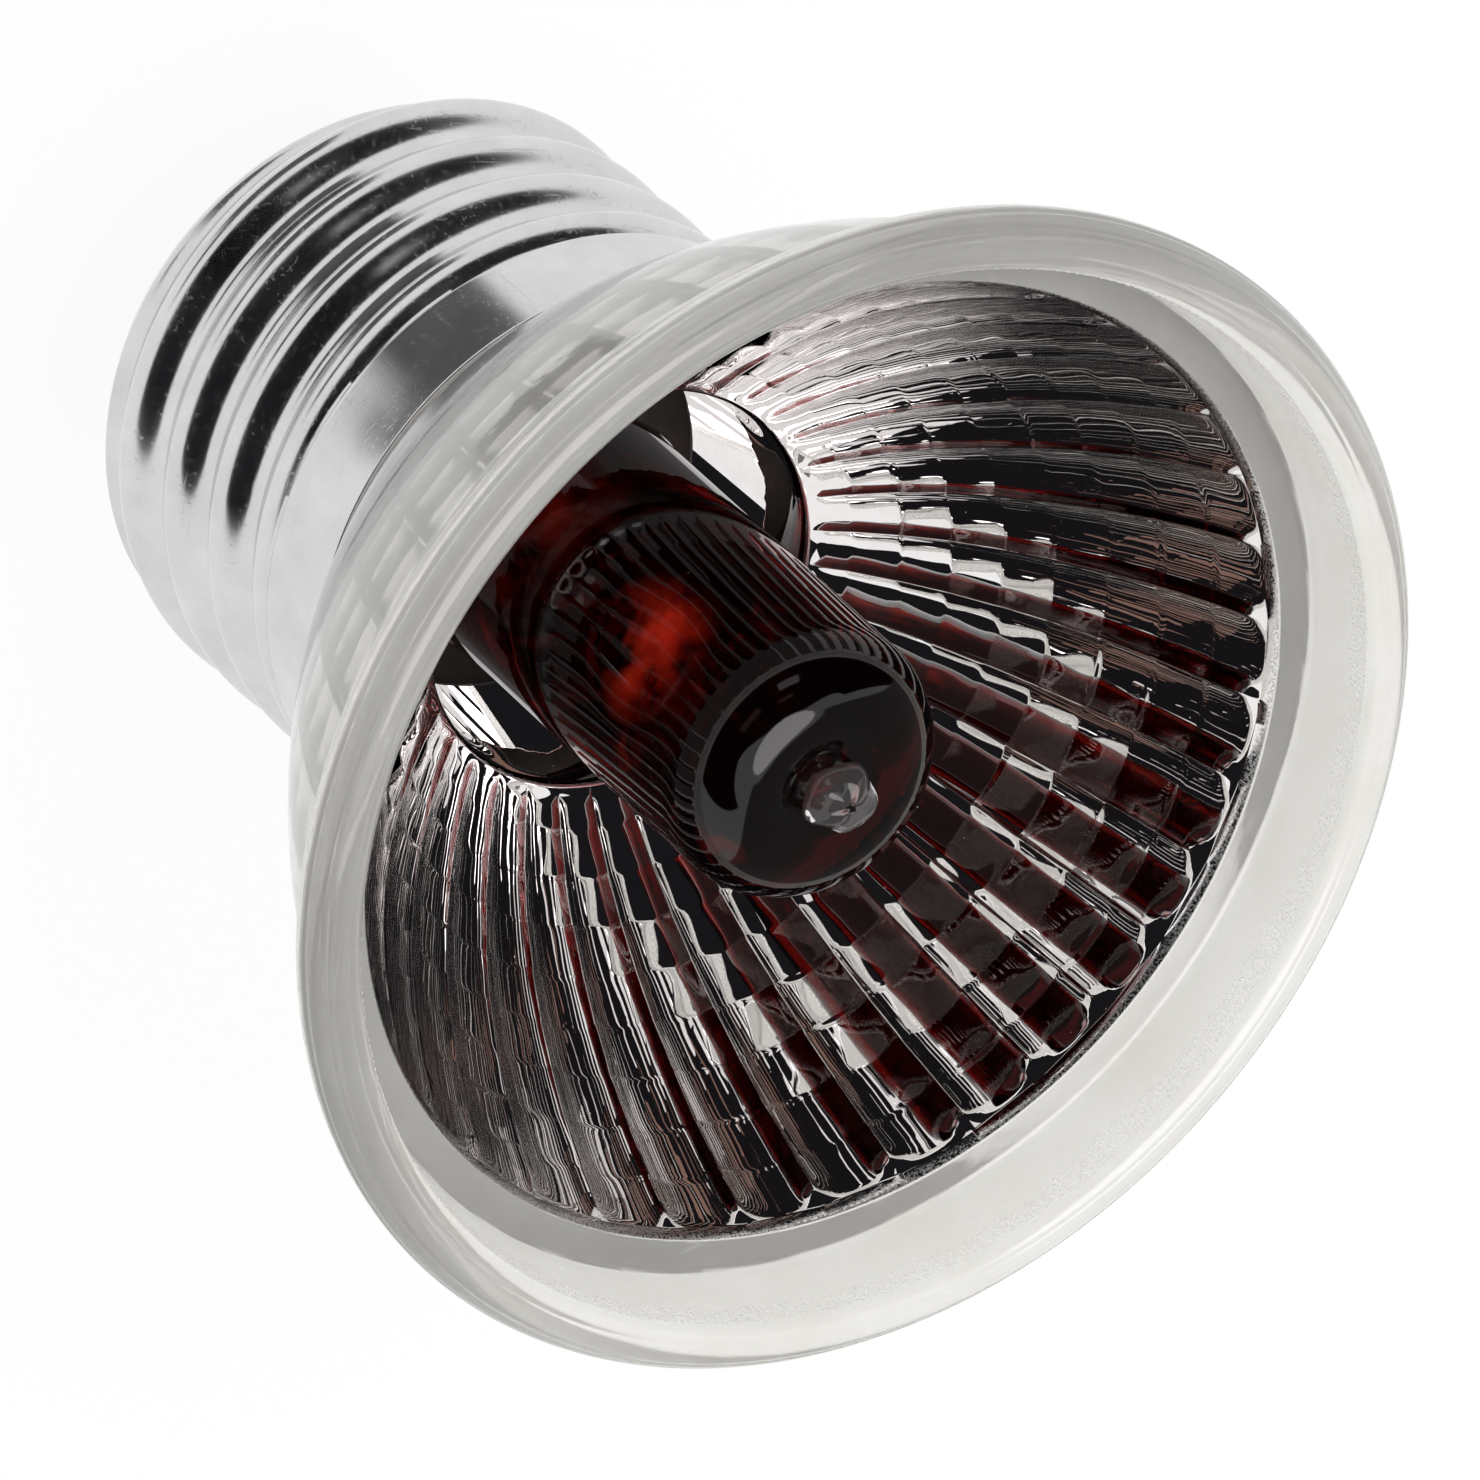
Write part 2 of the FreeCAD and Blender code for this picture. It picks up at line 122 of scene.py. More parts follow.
def arc_through(start: Pair, via: Pair, end: Pair, count: int) -> np.ndarray:
    """Points of the circle through three points: the centre solves two chord equations, the angle runs evenly.

    Args:
        start: first point, radius and height.
        via: a point on the way.
        end: last point.
        count: number of points, ends included.

    Returns:
        Array of count rows, radius and height.
    """
    a, b, c = (np.array(point, float) for point in (start, via, end))
    chords = 2.0 * np.array([b - a, c - a])
    centre = np.linalg.solve(chords, [b @ b - a @ a, c @ c - a @ a])
    first, middle, last = (math.atan2(*(point - centre)[::-1]) for point in (a, b, c))
    sweep = (last - first) % FULL_TURN
    if (middle - first) % FULL_TURN > sweep:
        sweep -= FULL_TURN
    angles = first + sweep * np.linspace(0.0, 1.0, count)
    radius = np.linalg.norm(a - centre)
    return centre + radius * np.stack([np.cos(angles), np.sin(angles)], axis=-1)


def bend(begin: np.ndarray, corner: np.ndarray, close: np.ndarray, steps: int) -> np.ndarray:
    """Quadratic curves from begin to close that head for the corner.

    The three points have the weights (1-t) squared, 2t(1-t) and t squared.

    Args:
        begin: start of each curve.
        corner: the corner each curve heads for.
        close: end of each curve.
        steps: points on each curve.

    Returns:
        Points of all curves in order.
    """
    share = np.linspace(0.0, 1.0, steps)[None, :, None]
    start, middle, end = (np.atleast_2d(point)[:, None] for point in (begin, corner, close))
    return ((1 - share) ** 2 * start + 2 * share * (1 - share) * middle + share**2 * end).reshape(-1, 2)


def softened(points: list[Pair], reach: tuple[float, ...], steps: int = 5) -> np.ndarray:
    """Open outline with eased corners: each inner corner becomes a bend that leaves its edges at reach.

    Args:
        points: corners, of which the first and last only give directions.
        reach: distance from each inner corner at which its curve starts and ends.
        steps: points on each curve.

    Returns:
        Array of the curves' points in order.
    """
    corners = np.array(points, float)
    middle = corners[1:-1]
    back = corners[:-2] - middle
    ahead = corners[2:] - middle
    span = np.array(reach, float)[:, None]
    begin = middle + back / np.linalg.norm(back, axis=1, keepdims=True) * span
    close = middle + ahead / np.linalg.norm(ahead, axis=1, keepdims=True) * span
    return bend(begin, middle, close, steps)


def turned_grid(profile: np.ndarray, angles: np.ndarray) -> np.ndarray:
    """Surface of revolution: each profile point (radius, height) carried round the axis through the angles.

    Args:
        profile: rows of radius and height.
        angles: angles about the lamp's axis.

    Returns:
        Grid of points, profile by angle by 3.
    """
    radius = np.broadcast_to(profile[:, :1], (len(profile), len(angles)))
    height = np.broadcast_to(profile[:, 1:], radius.shape)
    return polar_grid(radius, angles, height)


def polar_grid(radius: np.ndarray, angles: np.ndarray, height: np.ndarray) -> np.ndarray:
    """Points at a radius, angle and height, for whole arrays."""
    return np.stack([radius * np.cos(angles), radius * np.sin(angles), height + 0.0 * radius], axis=-1)


def on_sphere(longitude: np.ndarray | float, latitude: np.ndarray | float) -> np.ndarray:
    """Unit vectors of longitude and latitude in degrees."""
    turn, rise = np.radians(longitude), np.radians(latitude)
    return np.stack([np.cos(rise) * np.cos(turn), np.cos(rise) * np.sin(turn), np.sin(rise)], axis=-1)


def placed(name: str, data: bpy.types.ID) -> bpy.types.Object:
    """A new object of the data, linked to the scene."""
    made = bpy.data.objects.new(name, data)
    bpy.context.scene.collection.objects.link(made)
    return made


def blank_material(name: str) -> bpy.types.Material:
    """A material without nodes, whose glow isn't sampled as a lamp."""
    made = bpy.data.materials.new(name)
    made.use_nodes = True
    made.node_tree.nodes.clear()
    made.cycles.emission_sampling = "NONE"
    return made


@dataclass
class Patch:
    """One grid of points with its faces, in millimetres."""

    points: np.ndarray
    wrap: Wrap = Wrap.COLUMNS
    side: Side = Side.OUT
    capped: bool = False
    row_material: np.ndarray | None = None
    fields: dict[str, np.ndarray] = field(default_factory=dict)

    def vertices(self) -> np.ndarray:
        """All points, with a pole for each end of a capped patch."""
        flat = self.points.reshape(-1, 3)
        if not self.capped:
            return flat
        poles = np.stack([self.points[0].mean(axis=0), self.points[-1].mean(axis=0)])
        return np.concatenate([flat, poles])

    def faces(self) -> tuple[np.ndarray, np.ndarray]:
        """Quads between neighbouring rows and columns, and triangles to the poles.

        Returns:
            Quads (n, 4) and triangles (m, 3) of vertex numbers.
        """
        rows, columns = self.points.shape[:2]
        row_count = rows if self.wrap is Wrap.BOTH else rows - 1
        column_count = columns - 1 if self.wrap is Wrap.NONE else columns
        row, column = np.meshgrid(np.arange(row_count), np.arange(column_count), indexing="ij")
        row_after = (row + 1) % rows
        column_after = (column + 1) % columns
        quads = np.stack([row * columns + column, row * columns + column_after,
                          row_after * columns + column_after, row_after * columns + column], axis=-1)
        quads = quads.reshape(-1, 4)
        triangles = np.zeros((0, 3), int)
        if self.capped:
            ring = np.arange(columns)
            after = (ring + 1) % columns
            last = (rows - 1) * columns
            top = np.stack([after, ring, np.full(columns, rows * columns)], axis=-1)
            foot = np.stack([last + ring, last + after, np.full(columns, rows * columns + 1)], axis=-1)
            triangles = np.concatenate([top, foot])
        if self.side is not Side.AS_DRAWN and self.volume(quads, triangles) * self.side.value < 0:
            quads = quads[:, ::-1]
            triangles = triangles[:, ::-1]
        return quads, triangles

    def volume(self, quads: np.ndarray, triangles: np.ndarray) -> float:
        """Signed volume inside the faces, as a sum of corner products."""
        spots = self.vertices()
        split = np.concatenate([quads[:, [0, 1, 2]], quads[:, [0, 2, 3]], triangles])
        a, b, c = (spots[split[:, corner]] for corner in range(3))
        return float(np.einsum("ij,ij->i", a, np.cross(b, c)).sum())

    def face_materials(self, quads: np.ndarray, triangles: np.ndarray) -> np.ndarray:
        """Material number of each face, from its row."""
        numbers = np.zeros(len(quads) + len(triangles), np.int32)
        if self.row_material is not None:
            per_row = len(quads) // len(self.row_material)
            numbers[:len(quads)] = np.repeat(self.row_material, per_row)
        return numbers


@dataclass
class Piece:
    """A visible piece: patches joined to one mesh at the origin, riding on the lamp."""

    name: str
    slot: str
    stands_for: tuple[str, ...]
    finishes: list["Finish"]
    sharp_angle: float = 40.0

    def build(self, patches: list[Patch]) -> bpy.types.Object:
        """Args:
            patches: grids in millimetres.

        Returns:
            The finished object.
        """
        spots, faces, numbers = [], [], []
        start = 0
        for patch in patches:
            quads, triangles = patch.faces()
            spots.append(patch.vertices())
            faces += (quads + start).tolist() + (triangles + start).tolist()
            numbers.append(patch.face_materials(quads, triangles))
            start += len(spots[-1])
        mesh = bpy.data.meshes.new(self.name)
        mesh.from_pydata(np.concatenate(spots) * MM, [], faces)
        mesh.polygons.foreach_set("material_index", np.concatenate(numbers))
        mesh.polygons.foreach_set("use_smooth", np.ones(len(faces), bool))
        for name in sorted({name for patch in patches for name in patch.fields}):
            values = [self.field_values(patch, name) for patch in patches]
            mesh.attributes.new(name, "FLOAT", "POINT").data.foreach_set("value", np.concatenate(values))
        mesh.validate()
        mesh.update()
        mesh.set_sharp_from_angle(angle=math.radians(self.sharp_angle))
        for finish in self.finishes:
            mesh.materials.append(finish.material())
        piece = placed(self.name, mesh)
        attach(piece, "root")
        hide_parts(*self.stands_for)
        LOG.info("%s: %d faces", self.name, len(faces))
        return piece

    @staticmethod
    def field_values(patch: Patch, name: str) -> np.ndarray:
        """One value per vertex of the patch, zero where it has no such field."""
        values = np.zeros(len(patch.vertices()), np.float32)
        if name in patch.fields:
            flat = np.broadcast_to(patch.fields[name], patch.points.shape[:2]).reshape(-1)
            values[:len(flat)] = flat
        return values


class Wiring:
    """Adds nodes to one shader tree and links them."""

    def __init__(self, tree: bpy.types.NodeTree) -> None:
        """Keep the tree."""
        self.tree = tree

    def add(self, kind: str, inputs: Inputs | None = None, **settings: object) -> bpy.types.Node:
        """Add a node.

        Args:
            kind: node type without its ShaderNode prefix.
            inputs: value or source socket for each input, by name or number.
            settings: plain properties of the node.

        Returns:
            The node.
        """
        node = self.tree.nodes.new("ShaderNode" + kind)
        for name, value in settings.items():
            setattr(node, name, value)
        self.fill(node, inputs or {})
        return node

    def fill(self, node: bpy.types.Node, inputs: Inputs) -> None:
        """Feed several inputs of one node."""
        for name, value in inputs.items():
            self.feed(node, name, value)

    def feed(self, node: bpy.types.Node, name: str | int, value: Feed) -> None:
        """Link a socket or set a plain value on one input."""
        target = node.inputs[name]
        if isinstance(value, Socket):
            self.tree.links.new(value, target)
        else:
            target.default_value = value

    def math(self, operation: str, first: Feed, second: Feed = 0.0, clamp: bool = False) -> Socket:
        """Output of one Math node."""
        return self.add("Math", {0: first, 1: second}, operation=operation, use_clamp=clamp).outputs[0]

    def ramp(self, value: Feed, low: float, high: float, start: float = 0.0, end: float = 1.0) -> Socket:
        """Value carried linearly from low..high to start..end and held there."""
        inputs = {"Value": value, "From Min": low, "From Max": high, "To Min": start, "To Max": end}
        return self.add("MapRange", inputs, clamp=True).outputs[0]

    def blend(self, share: Feed, first: Feed, second: Feed) -> Socket:
        """Colour mixed from first to second by share."""
        node = self.add("Mix", {0: share}, data_type="RGBA")
        self.feed(node, 6, first)
        self.feed(node, 7, second)
        return node.outputs[2]

    def noise(self, vector: Feed, scale: float, detail: float = 3.0, roughness: float = 0.55) -> Socket:
        """Value of a noise texture."""
        inputs = {"Vector": vector, "Scale": scale, "Detail": detail, "Roughness": roughness}
        return self.add("TexNoise", inputs).outputs[0]

    def stretched(self, vector: Feed, scale: Colour, turn: Colour) -> Socket:
        """Vector turned and stretched by a Mapping node."""
        return self.add("Mapping", {"Vector": vector, "Scale": scale, "Rotation": turn}).outputs[0]

    def place(self) -> Socket:
        """Object coordinates."""
        return self.add("TexCoord").outputs["Object"]

    def group(self, tree: bpy.types.NodeTree, inputs: Inputs) -> bpy.types.Node:
        """Place a shared node group with its own values."""
        node = self.add("Group", node_tree=tree)
        self.fill(node, inputs)
        return node


class SharedEffect:
    """A shader node group under construction, with named sockets."""

    def __init__(self, name: str, inputs: dict[str, str], outputs: dict[str, str]) -> None:
        """Make the group and its sockets.

        Args:
            name: the group's name.
            inputs: socket kind by input name.
            outputs: socket kind by output name.
        """
        self.tree = bpy.data.node_groups.new(name, "ShaderNodeTree")
        for way, sockets in (("INPUT", inputs), ("OUTPUT", outputs)):
            for label, kind in sockets.items():
                self.tree.interface.new_socket(label, in_out=way, socket_type="NodeSocket" + kind)
        self.wiring = Wiring(self.tree)
        self.source = self.tree.nodes.new("NodeGroupInput").outputs
        self.result = self.tree.nodes.new("NodeGroupOutput")

    def millimetres(self) -> Socket:
        """The group's Vector input in millimetres."""
        node = self.wiring.add("VectorMath", {0: self.source["Vector"]}, operation="SCALE")
        node.inputs["Scale"].default_value = 1.0 / MM
        return node.outputs[0]

    def give(self, name: str, value: Socket) -> None:
        """Send a value to one output."""
        self.wiring.feed(self.result, name, value)


@functools.cache
def scuffs() -> bpy.types.NodeTree:
    """Fine scratches in three directions: stretched noise cut to thin lines, and the dent of each line."""
    effect = SharedEffect("fine_scuffs", {"Vector": "Vector", "Density": "Float", "Share": "Float"},
                          {"Mask": "Float", "Height": "Float"})
    wires = effect.wiring
    spot = effect.millimetres()
    lines = []
    for stretch, turn in (((1.0, 1.0, 0.06), (0.5, 0.2, 0.3)), ((0.07, 1.0, 1.0), (0.2, 0.7, 1.1)),
                          ((1.0, 0.05, 1.0), (0.9, 0.1, 0.5))):
        noise = wires.add("TexNoise", {"Vector": wires.stretched(spot, stretch, turn), "Detail": 2.0})
        wires.feed(noise, "Scale", effect.source["Density"])
        above = wires.math("SUBTRACT", noise.outputs[0], wires.math("SUBTRACT", 1.0, effect.source["Share"]))
        lines.append(wires.ramp(above, 0.0, 0.06))
    mask = wires.math("MAXIMUM", lines[0], wires.math("MAXIMUM", lines[1], lines[2]))
    effect.give("Mask", mask)
    effect.give("Height", wires.math("SUBTRACT", 1.0, mask))
    return effect.tree


@functools.cache
def mottle() -> bpy.types.NodeTree:
    """Cloudy change between two colours, with the cloud itself as a value."""
    effect = SharedEffect("soft_mottle",
                          {"Vector": "Vector", "Scale": "Float", "Dark": "Color", "Light": "Color"},
                          {"Color": "Color", "Value": "Float"})
    wires = effect.wiring
    noise = wires.add("TexNoise", {"Vector": effect.millimetres(), "Detail": 5.0, "Roughness": 0.6})
    wires.feed(noise, "Scale", effect.source["Scale"])
    cloud = wires.ramp(noise.outputs[0], 0.3, 0.7)
    effect.give("Color", wires.blend(cloud, effect.source["Dark"], effect.source["Light"]))
    effect.give("Value", cloud)
    return effect.tree


@functools.cache
def dust() -> bpy.types.NodeTree:
    """Sparse specks: cells of a Voronoi pattern, few of them kept, each a dot round its centre."""
    effect = SharedEffect("dust_specks",
                          {"Vector": "Vector", "Spacing": "Float", "Size": "Float", "Keep": "Float"},
                          {"Mask": "Float"})
    wires = effect.wiring
    cells = wires.add("TexVoronoi", {"Vector": effect.millimetres()})
    wires.feed(cells, "Scale", effect.source["Spacing"])
    chance = wires.add("SeparateColor", {0: cells.outputs["Color"]}).outputs[0]
    kept = wires.math("LESS_THAN", chance, effect.source["Keep"])
    near = wires.math("LESS_THAN", cells.outputs["Distance"], effect.source["Size"])
    effect.give("Mask", wires.math("MULTIPLY", kept, near))
    return effect.tree


def clouded(wires: Wiring, place: Socket, scale: float, dark: Colour, light: Colour) -> tuple[Socket, Socket]:
    """Colour and cloud of the shared mottle between two plain colours."""
    node = wires.group(mottle(), {"Vector": place, "Scale": scale, "Dark": (*dark, 1.0),
                                  "Light": (*light, 1.0)})
    return node.outputs["Color"], node.outputs["Value"]


def specked(wires: Wiring, place: Socket, spacing: float, size: float, keep: float) -> Socket:
    """Mask of the shared dust specks."""
    node = wires.group(dust(), {"Vector": place, "Spacing": spacing, "Size": size, "Keep": keep})
    return node.outputs["Mask"]


@dataclass(frozen=True)
class Finish(ABC):
    """A finish that makes its material once."""

    name: str

    def material(self) -> bpy.types.Material:
        """The material of this finish."""
        found = bpy.data.materials.get(self.name)
        if found is not None:
            return found
        made = blank_material(self.name)
        wires = Wiring(made.node_tree)
        shader = wires.add("BsdfPrincipled")
        self.dress(wires, shader)
        wires.add("OutputMaterial", {"Surface": shader.outputs[0]})
        return made

    @abstractmethod
    def dress(self, wires: Wiring, shader: bpy.types.Node) -> None:
        """Set the shader's sockets.

        Args:
            wires: node builder of the material.
            shader: its Principled shader.
        """


@dataclass(frozen=True)
class ClearGlass(Finish):
    """Pressed clear glass with a faint warm cast and a milky share, slightly hazy in places."""

    dark: Colour = (0.885, 0.87, 0.82)
    light: Colour = (0.97, 0.96, 0.935)
    index: float = 1.5
    clear: float = 0.7
    haze: Pair = (0.03, 0.10)
    ripple: float = 0.05
    cloud_scale: float = 0.18
    frost_scale: float = 5500.0
    frost_cut: Pair = (0.42, 0.58)
    frost_rise: float = 0.8
    frost_rough: float = 0.5
    ripple_scale: float = 700.0
    ripple_height: float = 0.3

    def dress(self, wires: Wiring, shader: bpy.types.Node) -> None:
        """Tint and haze by cloud, frost along marked lines, ripples as a dent."""
        place = wires.place()
        cast, cloud = clouded(wires, place, self.cloud_scale, self.dark, self.light)
        line = wires.add("Attribute", attribute_name="frost_line").outputs["Fac"]
        grain = wires.ramp(wires.noise(place, self.frost_scale, 3.0), *self.frost_cut)
        frost = wires.math("MULTIPLY", line, grain, clamp=True)
        raised = wires.math("MULTIPLY", frost, self.frost_rise)
        waves = wires.math("ADD", wires.noise(place, self.ripple_scale, 2.0), raised)
        dent = wires.add("Bump", {"Height": waves, "Strength": self.ripple,
                                  "Distance": self.ripple_height * MM})
        haze = wires.ramp(cloud, 0.0, 1.0, *self.haze)
        wires.fill(shader, {
            "Base Color": cast,
            "Roughness": wires.math("ADD", haze, wires.math("MULTIPLY", frost, self.frost_rough)),
            "Normal": dent.outputs[0],
            "Transmission Weight": self.clear,
            "IOR": self.index})


@dataclass(frozen=True)
class MirrorFilm(Finish):
    """Aluminium film on the flutes: bright, a little warm, with pinholes and a frosty edge."""

    dark: Colour = (0.80, 0.77, 0.765)
    light: Colour = (0.87, 0.85, 0.845)
    frost: Colour = (0.95, 0.95, 0.93)
    back: Colour = (0.66, 0.645, 0.64)
    cloud_scale: float = 0.5
    specks: tuple[float, float, float] = (1.6, 0.05, 0.10)
    grain_scale: float = 9000.0
    grain_cut: Pair = (0.35, 0.6)
    back_dull: Pair = (0.10, 0.2)
    polish: Pair = (0.014, 0.6)
    foot_height: float = 25.3
    foot_ease: float = 0.1
    foot_lean: float = 1.7
    ragged_scale: float = 420.0
    ragged_height: float = 3.0

    def dress(self, wires: Wiring, shader: bpy.types.Node) -> None:
        """Cloudy silver, rougher on specks and along the edge of the film, grey from behind."""
        place = wires.place()
        silver, cloud = clouded(wires, place, self.cloud_scale, self.dark, self.light)
        edge = wires.add("Attribute", attribute_name="film_edge").outputs["Fac"]
        grain = wires.ramp(wires.noise(place, self.grain_scale, 2.0), *self.grain_cut)
        frosty = wires.math("MULTIPLY", edge, grain, clamp=True)
        spoiled = wires.math("MAXIMUM", frosty, specked(wires, place, *self.specks))
        behind = wires.add("NewGeometry").outputs["Backfacing"]
        dulled = wires.math("MULTIPLY", behind, wires.ramp(cloud, 0.0, 1.0, *self.back_dull))
        front = wires.blend(spoiled, silver, (*self.frost, 1.0))
        wires.fill(shader, {
            "Base Color": wires.blend(behind, front, (*self.back, 1.0)),
            "Normal": self.foot_normal(wires, place),
            "Metallic": 1.0,
            "Roughness": wires.ramp(wires.math("MAXIMUM", spoiled, dulled), 0.0, 1.0, *self.polish)})

    def foot_normal(self, wires: Wiring, place: Socket) -> Socket:
        """Shading normal that leans up where the film runs over the cement fillet at the throat's foot.

        Args:
            wires: node builder of the material.
            place: object coordinates.

        Returns:
            The normal: the surface's own plus a share of straight up below a ragged height.
        """
        height = wires.add("SeparateXYZ", {0: place}).outputs[2]
        offset = wires.math("SUBTRACT", wires.noise(place, self.ragged_scale, 3.0), 0.5)
        level = wires.math("ADD", height, wires.math("MULTIPLY", offset, self.ragged_height * MM))
        share = wires.ramp(level, (self.foot_height - self.foot_ease) * MM,
                           (self.foot_height + self.foot_ease) * MM, self.foot_lean, 0.0)
        lift = wires.add("CombineXYZ", {2: share}).outputs[0]
        own = wires.add("NewGeometry").outputs["Normal"]
        leaned = wires.add("VectorMath", {0: own, 1: lift}, operation="ADD").outputs[0]
        return wires.add("VectorMath", {0: leaned}, operation="NORMALIZE").outputs[0]


@dataclass(frozen=True)
class RubyGlass(Finish):
    """Blown glass with a dark ruby coat, darker and a little hazy on the dome.

    A painted red glow near a few spots and painted red glints stand in for light trapped in the glass.
    Each spot of the painted glow holds its place, its reach and its level.
    """

    dark: Colour = (0.07, 0.002, 0.0015)
    light: Colour = (0.15, 0.005, 0.0035)
    dome: Colour = (0.025, 0.002, 0.002)
    # Painted glow: red emission near these spots, standing in for light trapped in the glass.
    painted_glow_colour: Colour = (0.19, 0.010, 0.004)
    painted_glow_spots: tuple[tuple[float, float, float, float, float], ...] = (
        (-5.3, 2.2, 37.8, 3.4, 1.0), (-4.6, 3.0, 28.0, 4.0, 0.2), (4.4, -3.6, 34.0, 4.5, 0.8))
    index: float = 1.44
    cloud_scale: float = 0.22
    specks: tuple[float, float, float] = (0.9, 0.06, 0.12)
    speck_rough: float = 0.5
    dome_span: Pair = (41.6, 43.8)
    haze_start: float = 42.6
    haze: Pair = (0.015, 0.06)
    coat: float = 0.1
    # Painted glints: red emission on scattered spots of noise.
    painted_glint_scale: float = 300.0
    painted_glint_cut: Pair = (0.62, 0.75)
    painted_glint_level: float = 0.35
    painted_glow_core: float = 0.25
    painted_glow_scale: float = 380.0
    painted_glow_cut: Pair = (0.40, 0.64)

    def dress(self, wires: Wiring, shader: bpy.types.Node) -> None:
        """Ruby by cloud, painted red glow and glints near some spots, a few specks of dust."""
        place = wires.place()
        ruby, _ = clouded(wires, place, self.cloud_scale, self.dark, self.light)
        specks = wires.math("MULTIPLY", specked(wires, place, *self.specks), self.speck_rough)
        height = wires.add("SeparateXYZ", {0: place}).outputs[2]
        start, end = self.dome_span
        domed = wires.ramp(height, start * MM, end * MM)
        haze = wires.ramp(height, self.haze_start * MM, end * MM, *self.haze)
        painted_glow_mask = self.painted_glow_share(wires, place)
        wires.fill(shader, {
            "Base Color": wires.blend(domed, ruby, (*self.dome, 1.0)),
            "Roughness": wires.math("MAXIMUM", haze, specks),
            # Painted glow: emission on glass that is no lamp, for trapped red light.
            "Emission Color": wires.blend(painted_glow_mask, (0.0, 0.0, 0.0, 1.0), (*self.painted_glow_colour, 1.0)),
            "Emission Strength": 1.0,
            "Transmission Weight": 1.0,
            "IOR": self.index,
            "Coat Weight": self.coat,
            "Coat IOR": 1.5,
            "Coat Roughness": 0.02})

    def painted_glow_share(self, wires: Wiring, place: Socket) -> Socket:
        """Share of painted red glow for trapped light: glints, high near the spots, broken up by cloud.

        Args:
            wires: node builder of the material.
            place: object coordinates.

        Returns:
            The share, 0 to 1.
        """
        # Painted glints, then a painted glow round each spot.
        total = wires.ramp(wires.noise(place, self.painted_glint_scale, 4.0), *self.painted_glint_cut, 0.0, self.painted_glint_level)
        for x, y, z, reach, level in self.painted_glow_spots:
            spot = (x * MM, y * MM, z * MM)
            gap = wires.add("VectorMath", {0: place, 1: spot}, operation="DISTANCE").outputs[1]
            near = wires.ramp(gap, self.painted_glow_core * reach * MM, reach * MM, level, 0.0)
            total = wires.math("ADD", total, near)
        cloud = wires.ramp(wires.noise(place, self.painted_glow_scale, 3.0), *self.painted_glow_cut)
        return wires.math("MULTIPLY", total, cloud, clamp=True)


@dataclass(frozen=True)
class SheetMetal(Finish):
    """Metal with cloudy polish and fine scuffs."""

    dark: Colour = (0.60, 0.60, 0.61)
    light: Colour = (0.70, 0.70, 0.705)
    polish: Pair = (0.12, 0.2)
    cloud_scale: float = 0.35
    scuff_density: float = 5.0
    scuff_share: float = 0.36
    scuff_depth: float = 0.08
    scuff_rough: float = 0.1
    scuff_height: float = 0.01

    def dress(self, wires: Wiring, shader: bpy.types.Node) -> None:
        """Colour and polish by cloud, scuffs rougher and dented."""
        place = wires.place()
        metal, cloud = clouded(wires, place, self.cloud_scale, self.dark, self.light)
        marks = wires.group(scuffs(), {"Vector": place, "Density": self.scuff_density,
                                       "Share": self.scuff_share}).outputs
        polish = wires.ramp(cloud, 0.0, 1.0, *self.polish)
        dent = wires.add("Bump", {"Height": marks["Height"], "Strength": self.scuff_depth,
                                  "Distance": self.scuff_height * MM})
        wires.fill(shader, {
            "Base Color": metal,
            "Metallic": 1.0,
            "Roughness": wires.math("ADD", polish, wires.math("MULTIPLY", marks["Mask"], self.scuff_rough)),
            "Normal": dent.outputs[0]})


@dataclass(frozen=True)
class DenseSolid(Finish):
    """Opaque glass or cement: a mottled colour, with grain in the surface."""

    dark: Colour = (0.78, 0.76, 0.71)
    light: Colour = (0.88, 0.86, 0.82)
    gloss: Pair = (0.7, 0.9)
    cloud_scale: float = 1.2
    grain_scale: float = 6000.0
    grain_depth: float = 0.4
    coat: float = 0.0
    grain_height: float = 0.05

    def dress(self, wires: Wiring, shader: bpy.types.Node) -> None:
        """Colour and gloss by cloud, grain as a dent."""
        place = wires.place()
        colour, cloud = clouded(wires, place, self.cloud_scale, self.dark, self.light)
        grain = wires.add("Bump", {"Height": wires.noise(place, self.grain_scale, 4.0),
                                   "Strength": self.grain_depth, "Distance": self.grain_height * MM})
        wires.fill(shader, {
            "Base Color": colour,
            "Roughness": wires.ramp(cloud, 0.0, 1.0, *self.gloss),
            "Normal": grain.outputs[0],
            "Coat Weight": self.coat,
            "Coat Roughness": 0.05})


